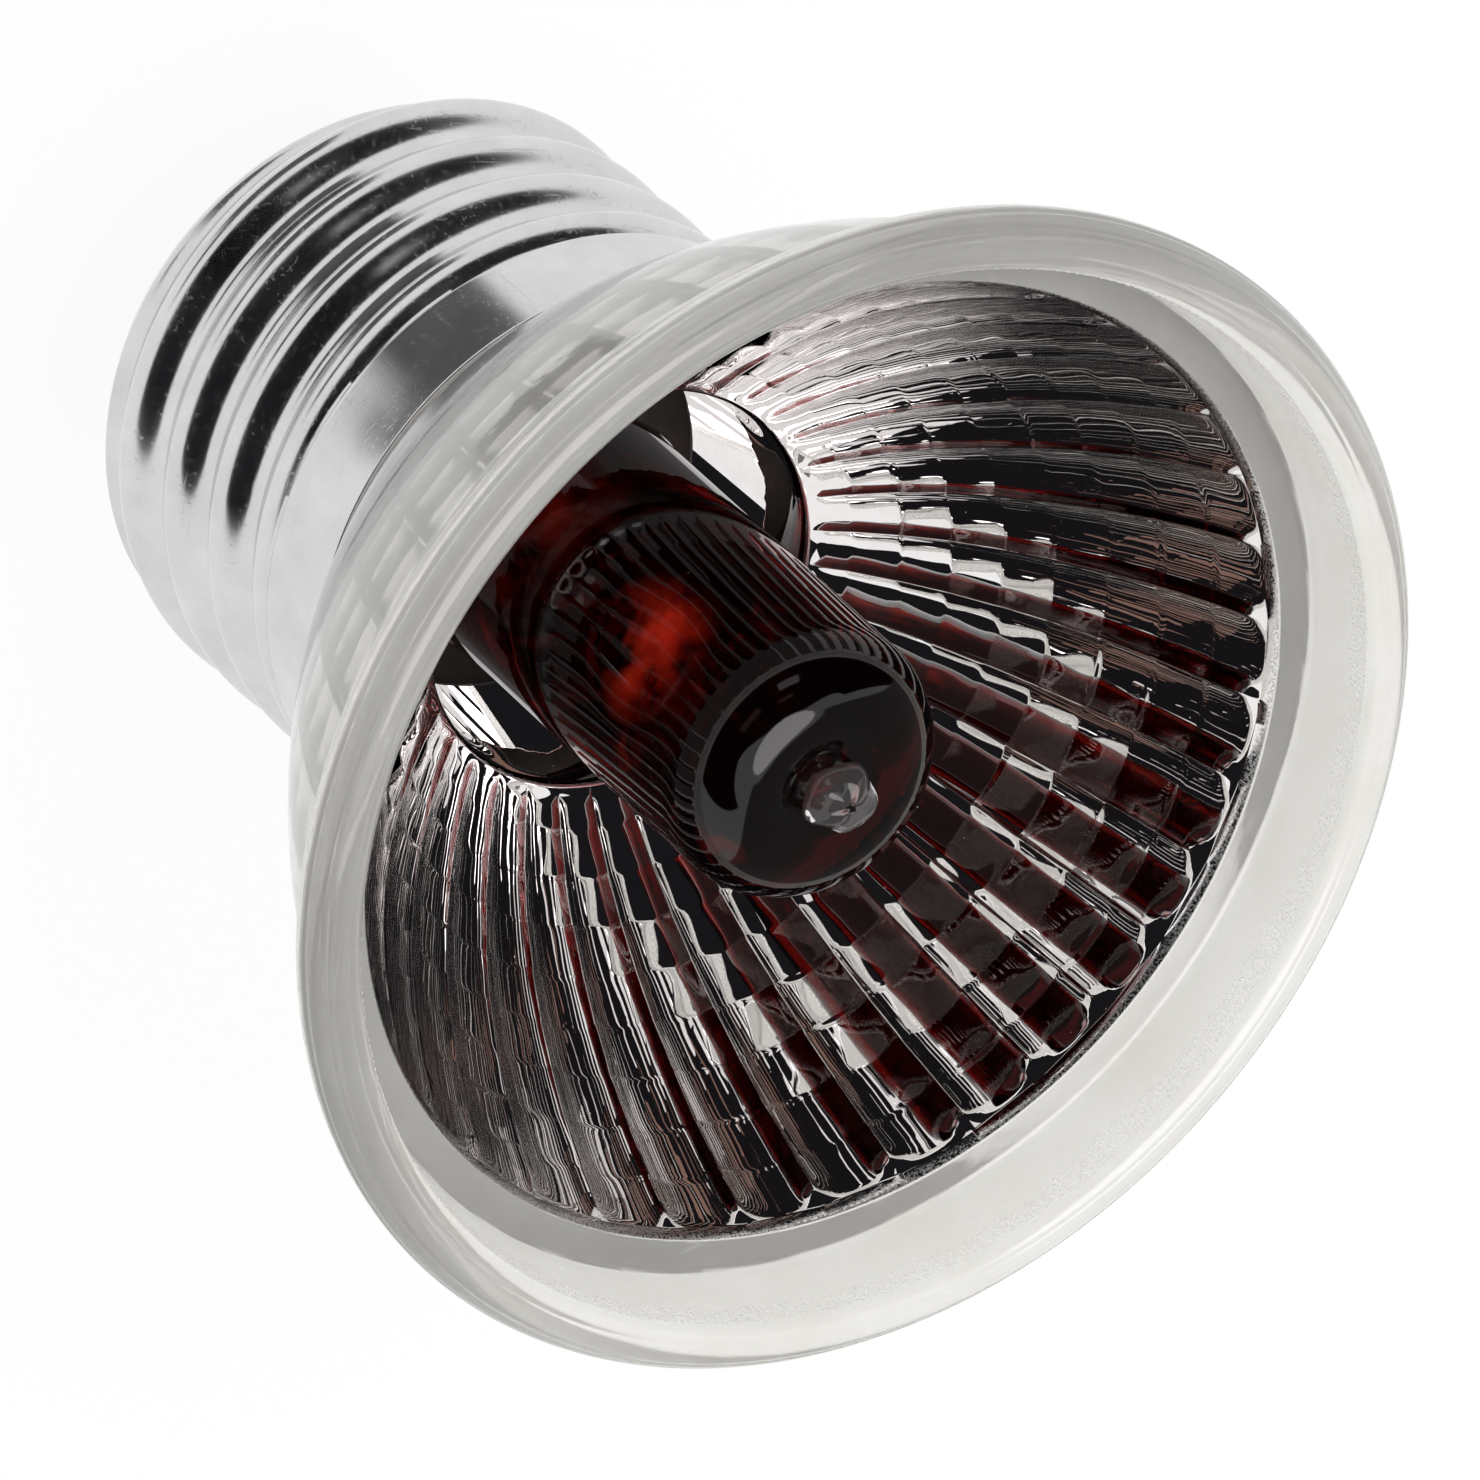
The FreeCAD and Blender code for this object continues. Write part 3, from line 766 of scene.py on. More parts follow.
@dataclass
class Reflector:
    """Pressed glass bowl: neck, belly, thick lip, seat ledge, and a mirror of flutes in stepped rows."""

    throat_radius: float = 8.4
    neck_end: float = 17.0
    neck_radius: float = 11.25
    neck_bend: Pair = (22.75, 23.8)
    neck_wide: float = 12.3
    shoulder: Pair = (13.0, 27.15)
    belly: Pair = (19.9, 36.4)
    waist: Pair = (23.3, 44.0)
    lip_back: Pair = (24.83, 45.77)
    lip_crown: Pair = (23.95, 47.9)
    lip_inner: Pair = (22.95, 47.4)
    recess_foot: Pair = (22.35, 44.2)
    ledge_edge: Pair = (20.92, 44.2)
    rim_height: float = 46.4
    flute_rim: Pair = (20.64, 43.7)
    flute_foot: Pair = (8.6, 28.0)
    ellipse_ahead: float = 20.0
    film_end: float = 19.7
    flutes: int = 36
    flute_columns: int = 16
    flute_turn: float = 7.45
    flute_sag: float = 0.0155
    flute_power: float = 2.7
    ridge_rounding: float = 0.003
    rows: int = 9
    row_samples: int = 8
    row_rounding: float = 0.07
    waviness: float = 0.0012
    facet_tilt: float = 0.007
    flute_fade: float = 0.55
    edge_roll: Pair = (0.5, 2.2)
    mould_line: Pair = (0.035, 0.022)
    mould_spots: tuple[float, ...] = (0.3, 0.52, 0.78)
    lip_inset: Pair = (0.02, 0.03)
    inset_span: Pair = (0.9, 1.3)
    crown_drop: float = 0.003
    crown_span: Pair = (1.2, 2.0)
    neck_fillets: tuple[float, ...] = (0.25, 0.4, 0.5, 0.5, 0.12, 0.3)
    waist_fillet: float = 0.5
    rim_fillets: Pair = (0.35, 0.07)
    collar_drop: float = 0.05
    roll_gap: float = 0.05
    foot_fade: float = 0.7
    wall_gaps: Pair = (0.3, 0.5)
    film_tuck: float = 0.03
    film_edge_inset: Pair = (0.06, 0.1)
    film_edge_width: float = 0.1
    film_edge_reach: float = 0.35
    frost_drop: float = 0.1
    frost_width: float = 0.16
    facet_size: float = 1.6
    column_gather: float = 0.7
    row_gather: float = 0.75
    belly_rows: int = 30
    lip_rows: int = 90
    roll_rows: int = 16
    wall_rows: int = 12

    def angles(self) -> np.ndarray:
        """Column angles, closer together near the ridges between flutes."""
        share = np.arange(self.flute_columns) / self.flute_columns
        share = share - self.column_gather * np.sin(2 * np.pi * share) / (2 * np.pi)
        step = FULL_TURN / self.flutes
        turns = np.arange(self.flutes)[:, None] + share[None, :]
        return math.radians(self.flute_turn) + step * turns.reshape(-1)

    def scallop(self, angles: np.ndarray) -> np.ndarray:
        """Share of the row's radius at each angle.

        In a flute it is the straight line across its middle less a power of the way to its ridge.
        Neighbouring flutes meet at the ridge, where the larger of the two counts, eased a little.

        Args:
            angles: angles about the axis.

        Returns:
            Share of the radius, 1 at the middle of a flute.
        """
        step = FULL_TURN / self.flutes
        drop = self.flute_sag / math.cos(step / 2)
        off = np.abs((angles - math.radians(self.flute_turn)) % step - step / 2)

        def hollow(turn: np.ndarray) -> np.ndarray:
            """Polar share of the radius of one flute."""
            return 1 / np.cos(turn) - drop * (2 * np.abs(turn) / step) ** self.flute_power

        return soft_max(hollow(off), hollow(off - step), self.ridge_rounding)

    def row_edges(self) -> np.ndarray:
        """Radius and height of the row edges: even angles on an ellipse through the mirror's rim and foot."""
        rim = np.array([self.flute_rim[0], self.rim_height - self.flute_rim[1] + self.ellipse_ahead])
        foot = np.array([self.flute_foot[0], self.rim_height - self.flute_foot[1] + self.ellipse_ahead])
        crossed = rim[0] ** 2 * foot[1] ** 2 - foot[0] ** 2 * rim[1] ** 2
        length = math.sqrt(crossed / (rim[0] ** 2 - foot[0] ** 2))
        width = rim[0] / math.sqrt(1 - (rim[1] / length) ** 2)
        sweep = np.linspace(math.asin(rim[1] / length), math.asin(foot[1] / length), self.rows + 1)
        height = self.rim_height + self.ellipse_ahead - length * np.sin(sweep)
        return np.stack([width * np.cos(sweep), height], axis=-1)

    def mirror_profile(self) -> np.ndarray:
        """Stepped rows: straight runs between row edges, each change of slope spread over a short ramp."""
        edges = self.row_edges()
        share = np.arange(self.row_samples) / self.row_samples
        share = share - self.row_gather * np.sin(2 * np.pi * share) / (2 * np.pi)
        along = np.append((np.arange(self.rows)[:, None] + share[None, :]).reshape(-1), float(self.rows))
        slopes = np.diff(edges, axis=0)
        knots = along[:, None] - np.arange(1, self.rows)[None, :]
        eased = np.clip(knots + self.row_rounding, 0.0, 2 * self.row_rounding) ** 2 / (4 * self.row_rounding)
        ramps = np.where(knots > self.row_rounding, knots, eased)
        return edges[0] + along[:, None] * slopes[0] + ramps @ np.diff(slopes, axis=0)

    def lip_profile(self) -> np.ndarray:
        """Arc of the lip, set in a little, with mould lines: bell-shaped dents towards the lip's middle.

        Returns:
            Rows of radius and height.
        """
        depth, width = self.mould_line
        lip = arc_through(self.lip_back, self.lip_crown, self.lip_inner, self.lip_rows)
        above = lip[:, 1] - self.lip_back[1]
        lip[:, 0] -= self.lip_inset[0] + self.lip_inset[1] * smooth_step(*self.inset_span, above)
        lip[:, 1] -= self.crown_drop * smooth_step(*self.crown_span, above)
        inward = np.mean(lip, axis=0) - lip
        way = np.linspace(0.0, 1.0, self.lip_rows)[:, None]
        dents = sum(np.exp(-(((way - spot) / width) ** 2)) for spot in self.mould_spots)
        return lip + depth * dents * inward / np.linalg.norm(inward, axis=1, keepdims=True)

    def glass_profile(self) -> tuple[np.ndarray, np.ndarray]:
        """Outlines of the glass: throat's foot, neck, belly and lip up to the ledge, and the collar.

        Returns:
            Profile before the mirror and profile after it.
        """
        belly = arc_through(self.shoulder, self.belly, self.waist, self.belly_rows)
        lip = self.lip_profile()
        foot = (self.throat_radius, self.neck_end)
        neck = [(self.throat_radius, self.neck_end + 1), foot, (self.neck_radius, self.neck_end),
                (self.neck_radius, self.neck_bend[0]), (self.neck_wide, self.neck_bend[1]),
                (self.neck_wide, self.shoulder[1]), self.shoulder, tuple(belly[1])]
        rim = [tuple(lip[-1]), self.recess_foot, self.ledge_edge, self.flute_rim]
        waist = softened([tuple(belly[-2]), self.waist, self.lip_back], (self.waist_fillet,))
        before = np.concatenate([softened(neck, self.neck_fillets), belly[1:-1], waist, lip,
                                 softened(rim, self.rim_fillets), np.array([self.flute_rim])])
        corner = np.array([self.throat_radius, self.flute_foot[1] - self.collar_drop])
        slope = self.mirror_profile()[-1 - self.row_samples] - corner
        roll = bend(corner + slope / np.linalg.norm(slope) * self.edge_roll[0], corner,
                    corner - (0.0, self.edge_roll[1]), self.roll_rows)
        down = np.linspace(self.flute_foot[1] - self.edge_roll[1] - self.wall_gaps[0],
                           self.neck_end + self.wall_gaps[1], self.wall_rows)
        wall = np.stack([np.full(self.wall_rows, self.throat_radius), down], axis=-1)
        return before, np.concatenate([roll, wall])

    def marks(self, profile: np.ndarray) -> dict[str, np.ndarray]:
        """Share of the film's frosty edge and of the lip's frost line: bell curves of the way off them.

        Args:
            profile: rows of radius and height.

        Returns:
            One column of values for each mark.
        """
        off = profile - (np.array(self.ledge_edge) - self.film_edge_inset)
        edge = np.exp(-((off[:, 0] / self.film_edge_width) ** 2))
        edge = np.where(np.abs(off[:, 1]) < self.film_edge_reach, edge, 0.0)
        line = np.array(self.lip_inner) - (0.0, self.frost_drop)
        frost = np.exp(-((np.linalg.norm(profile - line, axis=1) / self.frost_width) ** 2))
        return {"film_edge": edge[:, None], "frost_line": frost[:, None]}

    def build(self) -> bpy.types.Object:
        """The glass body with its mirror, as one closed ring of profile points carried round the axis."""
        before, after = self.glass_profile()
        rows = self.mirror_profile()
        rows[0, 1] -= self.film_tuck
        mirror = rows[rows[:, 0] > after[0, 0] + self.roll_gap]
        profile = np.concatenate([before, mirror, after])
        fluted = np.zeros(len(profile))
        foot_way = self.foot_fade * (mirror[:, 0] - after[0, 0])
        ends = np.minimum(self.flute_rim[1] - mirror[:, 1], foot_way)
        fluted[len(before):len(before) + len(mirror)] = smooth_step(0.0, self.flute_fade, ends)
        angles = self.angles()
        radius = profile[:, :1] * (1 + fluted[:, None] * (self.scallop(angles)[None, :] - 1))
        along = np.cumsum(np.linalg.norm(np.diff(profile, axis=0, prepend=profile[:1]), axis=1))[:, None]
        radius = radius + fluted[:, None] * self.waves(angles[None, :], along)
        radius[len(before):len(before) + len(mirror)] += self.tilts(angles)[:len(mirror)]
        height = np.broadcast_to(profile[:, 1:], radius.shape)
        # The film starts on the ledge's eased edge, two rows before the flutes.
        material = np.zeros(len(profile), np.int32)
        material[len(before) - 2:] = 1
        material[profile[:, 1] < self.film_end] = 0
        patch = Patch(polar_grid(radius, angles, height), wrap=Wrap.BOTH, row_material=material,
                      fields=self.marks(profile))
        piece = Piece("reflector_glass", "reflector_glass", ("reflector_bowl",),
                      [ClearGlass("clear_pressed_glass"), MirrorFilm("mirror_film")])
        return piece.build([patch])

    def tilts(self, angles: np.ndarray) -> np.ndarray:
        """Unlike seats of the facets in the mould.

        In each cell of flute and row, the offset is two tilts times the way off the cell's middle.

        Args:
            angles: column angles.

        Returns:
            Radial offset in millimetres for the mirror's rows.
        """
        count = self.rows * self.row_samples + 1
        row = np.minimum(np.arange(count) / self.row_samples, self.rows - 1e-6)
        column = np.arange(len(angles)) / self.flute_columns
        lean = np.random.default_rng(11).normal(size=(2, self.rows, self.flutes)) * self.facet_tilt
        cell = np.ix_(row.astype(int), column.astype(int))
        across, along = column % 1.0 - 0.5, row % 1.0 - 0.5
        return self.facet_size * (lean[0][cell] * across[None, :] + lean[1][cell] * along[:, None])

    def waves(self, angles: np.ndarray, along: np.ndarray) -> np.ndarray:
        """Pressing ripples: a sum of sines of angle and distance with unrelated wavelengths.

        Args:
            angles: column angles.
            along: distance along the profile of each row.

        Returns:
            Radial offset in millimetres.
        """
        return self.waviness * (np.sin(41 * angles + 1.9 * along) + np.sin(67 * angles - 2.7 * along + 1.0)
                                + 0.7 * np.sin(29 * angles + 4.1 * along + 2.0)
                                + 0.5 * np.sin(97 * angles + 3.3 * along + 0.4))


@dataclass
class ScrewShell:
    """Rolled sheet shell: round helical thread, plain skirt, turned-in foot."""

    root: float = 12.15
    crest: float = 13.15
    pitch: float = 3.629
    start: float = 5.386
    flare: Pair = (21.85, 22.9)
    skirt: float = 13.2
    top: float = 27.0
    foot: float = 7.6
    foot_radius: float = 11.9
    foot_slope: float = 0.708
    lip_radius: float = 10.2
    sheet: float = 0.4
    ridge_power: float = 0.95
    flare_fillet: float = 0.12
    root_inset: float = 0.02
    flare_ease: float = 0.6
    foot_fillet: float = 0.15
    top_gap: float = 0.15
    foot_gap: float = 0.02
    edge_fillets: tuple[float, ...] = (0.1, 0.1, 0.1, 0.1, 0.2, 0.2, 0.08, 0.12)
    columns: int = 320
    rows: int = 170

    def outer_radius(self, angles: np.ndarray, height: np.ndarray) -> np.ndarray:
        """Outer radius: a raised cosine along the helix, joined to the skirt's flare, cut by the foot's cone.

        Args:
            angles: column angles.
            height: row heights.

        Returns:
            Radius by row and column.
        """
        phase = (height[:, None] - self.start) / self.pitch - angles[None, :] / FULL_TURN
        wave = (0.5 + 0.5 * np.cos(2 * np.pi * phase)) ** self.ridge_power
        ridge = self.root + (self.crest - self.root) * wave
        rise = np.clip((height - self.flare[0]) / (self.flare[1] - self.flare[0]), 0.0, 1.0)
        skirt = self.root + (self.skirt - self.root) * rise
        body = soft_max(ridge, skirt[:, None], self.flare_fillet) - self.root_inset * (1 - rise[:, None])
        body = np.where(height[:, None] > self.flare[1] + self.flare_ease, self.skirt, body)
        cone = self.foot_radius + self.foot_slope * (height - self.foot)
        return np.minimum(soft_min(body, cone[:, None], self.foot_fillet), self.skirt)

    def build(self) -> bpy.types.Object:
        """Outer thread, foot and plain bore as one closed ring of profile points."""
        angles = np.linspace(0.0, FULL_TURN, self.columns, endpoint=False)
        height = np.linspace(self.top - self.top_gap, self.foot + self.foot_gap, self.rows)
        outer = polar_grid(self.outer_radius(angles, height), angles[None, :], height[:, None])
        bore = self.root - self.sheet
        wide = self.skirt - self.sheet
        inner_corners = [(self.foot_radius, self.foot + 0.3), (self.foot_radius - 0.1, self.foot),
                         (self.lip_radius, self.foot), (self.lip_radius, self.foot + self.sheet),
                         (bore, self.foot + self.sheet), (bore, self.flare[0] + self.sheet),
                         (wide, self.flare[1] + self.sheet), (wide, self.top), (self.skirt, self.top),
                         (self.skirt, self.top - 0.3)]
        inner = turned_grid(softened(inner_corners, self.edge_fillets), angles)
        piece = Piece("screw_shell_sheet", "shell_metal", ("screw_shell",), [SheetMetal("polished_shell")])
        return piece.build([Patch(np.concatenate([outer, inner]), wrap=Wrap.BOTH)])


@dataclass
class Capsule:
    """Blown ruby tube with a domed end, an exhaust tip, a flat pinch and a hollow chamber."""

    radius: float = 5.85
    tube: Pair = (23.7, 42.4)
    dome_bend: Pair = (5.0, 44.5)
    dome_edge: Pair = (1.9, 45.3)
    tip_middle: float = 45.95
    tip_radius: float = 1.55
    tip_end: float = 46.85
    chamber_radius: float = 4.85
    chamber: Pair = (21.7, 44.1)
    chamber_foot: float = 23.7
    pinch: Pair = (5.2, 1.6)
    pinch_span: Pair = (14.8, 21.5)
    lean: float = 1.3
    lean_towards: float = 235.0
    pivot: float = 17.5
    dent_place: Pair = (157.4, 38.3)
    dent_reach: float = 3.6
    dent_depth: float = 0.28
    tip_arc: Pair = (8.0, 138.0)
    tip_waist: float = 0.7
    tip_fillet: float = 0.3
    tip_ease: float = 0.5
    tip_lumps: tuple[tuple[float, int, float], ...] = ((0.09, 2, 0.6), (0.06, 3, 2.0), (0.04, 5, 0.0))
    tip_ripple: float = 0.05
    coat_edge: float = 0.14
    pinch_power: float = 8.0
    pinch_ease: float = 1.2
    columns: int = 128
    tip_rows: int = 24
    dome_rows: int = 26
    tube_rows: int = 64
    pinch_rows: int = 40

    def leaned(self, points: np.ndarray) -> np.ndarray:
        """Points turned by the small lean with which the capsule is cemented in."""
        towards = math.radians(self.lean_towards)
        axis = Vector((-math.sin(towards), math.cos(towards), 0.0))
        turn = np.array(Matrix.Rotation(math.radians(self.lean), 3, axis))
        pivot = np.array([0.0, 0.0, self.pivot])
        return (points - pivot) @ turn.T + pivot

    def round_profile(self) -> np.ndarray:
        """Outline of the round part: an oval bulb for the tip, an arc for the dome, a line for the tube.

        Returns:
            Rows of radius and height, from the tip down.
        """
        drop = np.radians(np.linspace(*self.tip_arc, self.tip_rows))
        rise = np.where(drop < np.pi / 2, self.tip_end - self.tip_middle, self.tip_waist)
        tip = np.stack([self.tip_radius * np.sin(drop), self.tip_middle + rise * np.cos(drop)], axis=-1)
        dome = arc_through(self.dome_edge, self.dome_bend, (self.radius, self.tube[1]), self.dome_rows)
        ease = softened([tuple(tip[-1]), self.dome_edge, tuple(dome[2])], (self.tip_fillet,))
        down = np.linspace(self.tube[1] - 0.4, self.tube[0], self.tube_rows)
        tube = np.stack([np.full(self.tube_rows, self.radius), down], axis=-1)
        return np.concatenate([tip, ease, dome[2:], tube])

    def outer(self, angles: np.ndarray) -> Patch:
        """Outside: dome and tube are round, below them a superellipse eases into the flat pinch.

        Args:
            angles: column angles.

        Returns:
            The closed outer patch.
        """
        round_part = self.round_profile()
        low = np.linspace(self.tube[0] - 0.15, self.pinch_span[0], self.pinch_rows)
        blend = smooth_step(self.tube[0], self.pinch_span[1] - self.pinch_ease, low)[:, None]
        power = 2.0 + (self.pinch_power - 2.0) * blend
        cosine = np.abs(np.cos(angles))[None, :]
        sine = np.abs(np.sin(angles))[None, :]
        wide = self.radius + (self.pinch[0] - self.radius) * blend
        thick = self.radius + (self.pinch[1] - self.radius) * blend
        flat_radius = ((cosine / wide) ** power + (sine / thick) ** power) ** (-1 / power)
        height = np.concatenate([round_part[:, 1], low])
        round_radius = np.broadcast_to(round_part[:, :1], (len(round_part), len(angles)))
        radius = np.concatenate([round_radius, flat_radius])
        tip_share = smooth_step(self.dome_edge[1], self.dome_edge[1] + self.tip_ease, height)[:, None]
        lumps = sum(size * np.cos(waves * angles + phase) for size, waves, phase in self.tip_lumps)
        ripple = self.tip_ripple * (np.cos(4 * angles[None, :] + 3.0 * height[:, None]) - 1.0)
        radius = radius * (1 + tip_share * lumps[None, :]) - self.dent(angles[None, :], height[:, None])
        points = polar_grid(radius, angles[None, :], height[:, None] + tip_share * ripple)
        bare = np.where(height[:-1] > self.dome_edge[1] + self.coat_edge, 1, 0).astype(np.int32)
        return Patch(self.leaned(points), capped=True, row_material=bare)

    def dent(self, angles: np.ndarray, height: np.ndarray) -> np.ndarray:
        """Shallow dent of the blown tube: full depth at its middle, eased to nothing at its reach.

        Args:
            angles: column angles, as one row.
            height: row heights, as one column.

        Returns:
            How far the wall lies inside the true tube.
        """
        around = (angles - math.radians(self.dent_place[0]) + math.pi) % FULL_TURN - math.pi
        gap = np.hypot(self.radius * around, height - self.dent_place[1])
        return self.dent_depth * (1.0 - smooth_step(0.0, self.dent_reach, gap))

    def inner(self, angles: np.ndarray) -> Patch:
        """The chamber: domed cylinder, closed by a cone over the pinch."""
        turn = np.linspace(0.08, 1.0, 12) * np.pi / 2
        dome = np.stack([self.chamber_radius * np.sin(turn),
                         self.tube[1] + (self.chamber[1] - self.tube[1]) * np.cos(turn)], axis=-1)
        wall = softened([tuple(dome[-1]), (self.chamber_radius, self.chamber_foot), (1.2, self.chamber[0]),
                         (0.0, self.chamber[0])], (0.8, 0.4))
        profile = np.concatenate([dome, wall, [[0.3, self.chamber[0]]]])
        return Patch(self.leaned(turned_grid(profile, angles)), side=Side.HOLLOW, capped=True)

    def build(self) -> bpy.types.Object:
        """Outer glass and hollow chamber as one piece."""
        angles = np.linspace(0.0, FULL_TURN, self.columns, endpoint=False)
        coated = RubyGlass("ruby_coated_glass")
        bare = ClearGlass("tip_glass", (0.80, 0.76, 0.76), (0.95, 0.93, 0.93), 1.5, 0.96, (0.005, 0.02), 0.5)
        piece = Piece("capsule_glass", "ruby_glass", ("capsule_envelope",), [coated, bare])
        return piece.build([self.outer(angles), self.inner(angles)])


@dataclass
class Filament:
    """Coiled tungsten wire between the two lead-in wires."""

    radius: float = 0.72
    wire: float = 0.16
    foot: float = 32.0
    top: float = 40.0
    turns: int = 14
    turn_points: int = 20
    ring: int = 8

    def build(self) -> bpy.types.Object:
        """A small circle carried along a helix, in the frame of the outward and upward directions."""
        turn = np.linspace(0.0, FULL_TURN * self.turns, self.turns * self.turn_points)[:, None]
        spin = np.linspace(0.0, FULL_TURN, self.ring, endpoint=False)[None, :]
        reach = self.radius + self.wire * np.cos(spin)
        span = self.top - self.foot - 2 * self.wire
        height = self.foot + self.wire + span * turn / (FULL_TURN * self.turns) + self.wire * np.sin(spin)
        points = np.stack([reach * np.cos(turn), reach * np.sin(turn), height], axis=-1)
        finish = SheetMetal("tungsten_wire", *TUNGSTEN_LOOK)
        piece = Piece("filament_wire", "tungsten", ("filament_coil",), [finish])
        return piece.build([Patch(points, capped=True)])


@dataclass
class CarriedNodes:
    """Solids of the lamp that keep their own form and only get a finish."""

    nodes: dict[str, bpy.types.Object]

    def finishes(self) -> dict[str, Finish]:
        """Finish of each carried node, by node name."""
        cement = DenseSolid("white_cement")
        # Painted shade: the capsule's cement is white, darkened here for the shade deep in the neck.
        shaded = DenseSolid("shaded_cement", (0.030, 0.022, 0.020), (0.060, 0.045, 0.040))
        black = DenseSolid("black_glass", (0.010, 0.010, 0.012), (0.022, 0.022, 0.025), (0.08, 0.16), 0.4,
                           3000.0, 0.03, 0.6)
        brass = SheetMetal("brass", (0.66, 0.50, 0.24), (0.80, 0.63, 0.33), (0.2, 0.34), 0.6)
        solder = SheetMetal("solder", (0.50, 0.51, 0.52), (0.70, 0.71, 0.72), (0.28, 0.45), 1.4,
                            3.0, 0.34, 0.2)
        tungsten = SheetMetal("dark_wire", *TUNGSTEN_LOOK)
        copper = SheetMetal("copper_wire", (0.62, 0.36, 0.22), (0.78, 0.50, 0.34), (0.25, 0.4))
        by_finish = {cement: ("base_cement",), shaded: ("capsule_cement",), black: ("base_insulator",),
                     brass: ("centre_contact", "crimp_a", "crimp_b"), solder: ("centre_solder",),
                     tungsten: ("lead_in_lower", "lead_in_upper", "foil_a", "foil_b", "pin_a", "pin_b"),
                     copper: ("centre_wire", "side_wire")}
        return {name: finish for finish, names in by_finish.items() for name in names}

    def dress(self) -> None:
        """Give each carried node its finish."""
        for name, finish in self.finishes().items():
            mesh = self.nodes[name].data
            mesh.materials.clear()
            mesh.materials.append(finish.material())
            LOG.info("%s: %s", name, finish.name)


@dataclass(frozen=True)
class DarkRoom:
    """The unlit side of the room, seen in reflections only: a dark patch of a sphere round the lamp."""

    west: Pair = (20.0, 40.0)
    east: Pair = (202.0, 250.0)
    low: float = 10.0
    high: Pair = (56.0, 16.5)
    high_turns: tuple[float, float, float, float] = (48.0, 75.0, 150.0, 195.0)
    distance: float = 1.0
    shade: Colour = (0.010, 0.0095, 0.011)

    def build(self) -> bpy.types.Object:
        """Even grid between the edges: both side edges lean with height, the top edge rises in the middle."""
        across, up = np.meshgrid(np.linspace(0.0, 1.0, 49), np.linspace(0.0, 1.0, 25))
        west = self.west[0] + (self.west[1] - self.west[0]) * up
        east = self.east[0] + (self.east[1] - self.east[0]) * up
        longitude = west + (east - west) * across
        rise = smooth_step(*self.high_turns[:2], longitude) - smooth_step(*self.high_turns[2:], longitude)
        top = self.high[0] + self.high[1] * rise
        latitude = self.low + (top - self.low) * up
        return Studio.card("dark_room_card", self.distance * on_sphere(longitude, latitude), self.shade)


@dataclass(frozen=True)
class RoomPatch:
    """A lit or coloured part of the room, seen in reflections only: a patch of longitude and latitude."""

    name: str
    longitude: Pair
    latitude: Pair
    shade: Colour
    distance: float = 0.97

    def build(self) -> bpy.types.Object:
        """Distance times the unit vector of longitude and latitude, on an even grid."""
        longitude, latitude = np.meshgrid(np.linspace(*self.longitude, 17), np.linspace(*self.latitude, 9))
        return Studio.card(self.name, self.distance * on_sphere(longitude, latitude), self.shade)


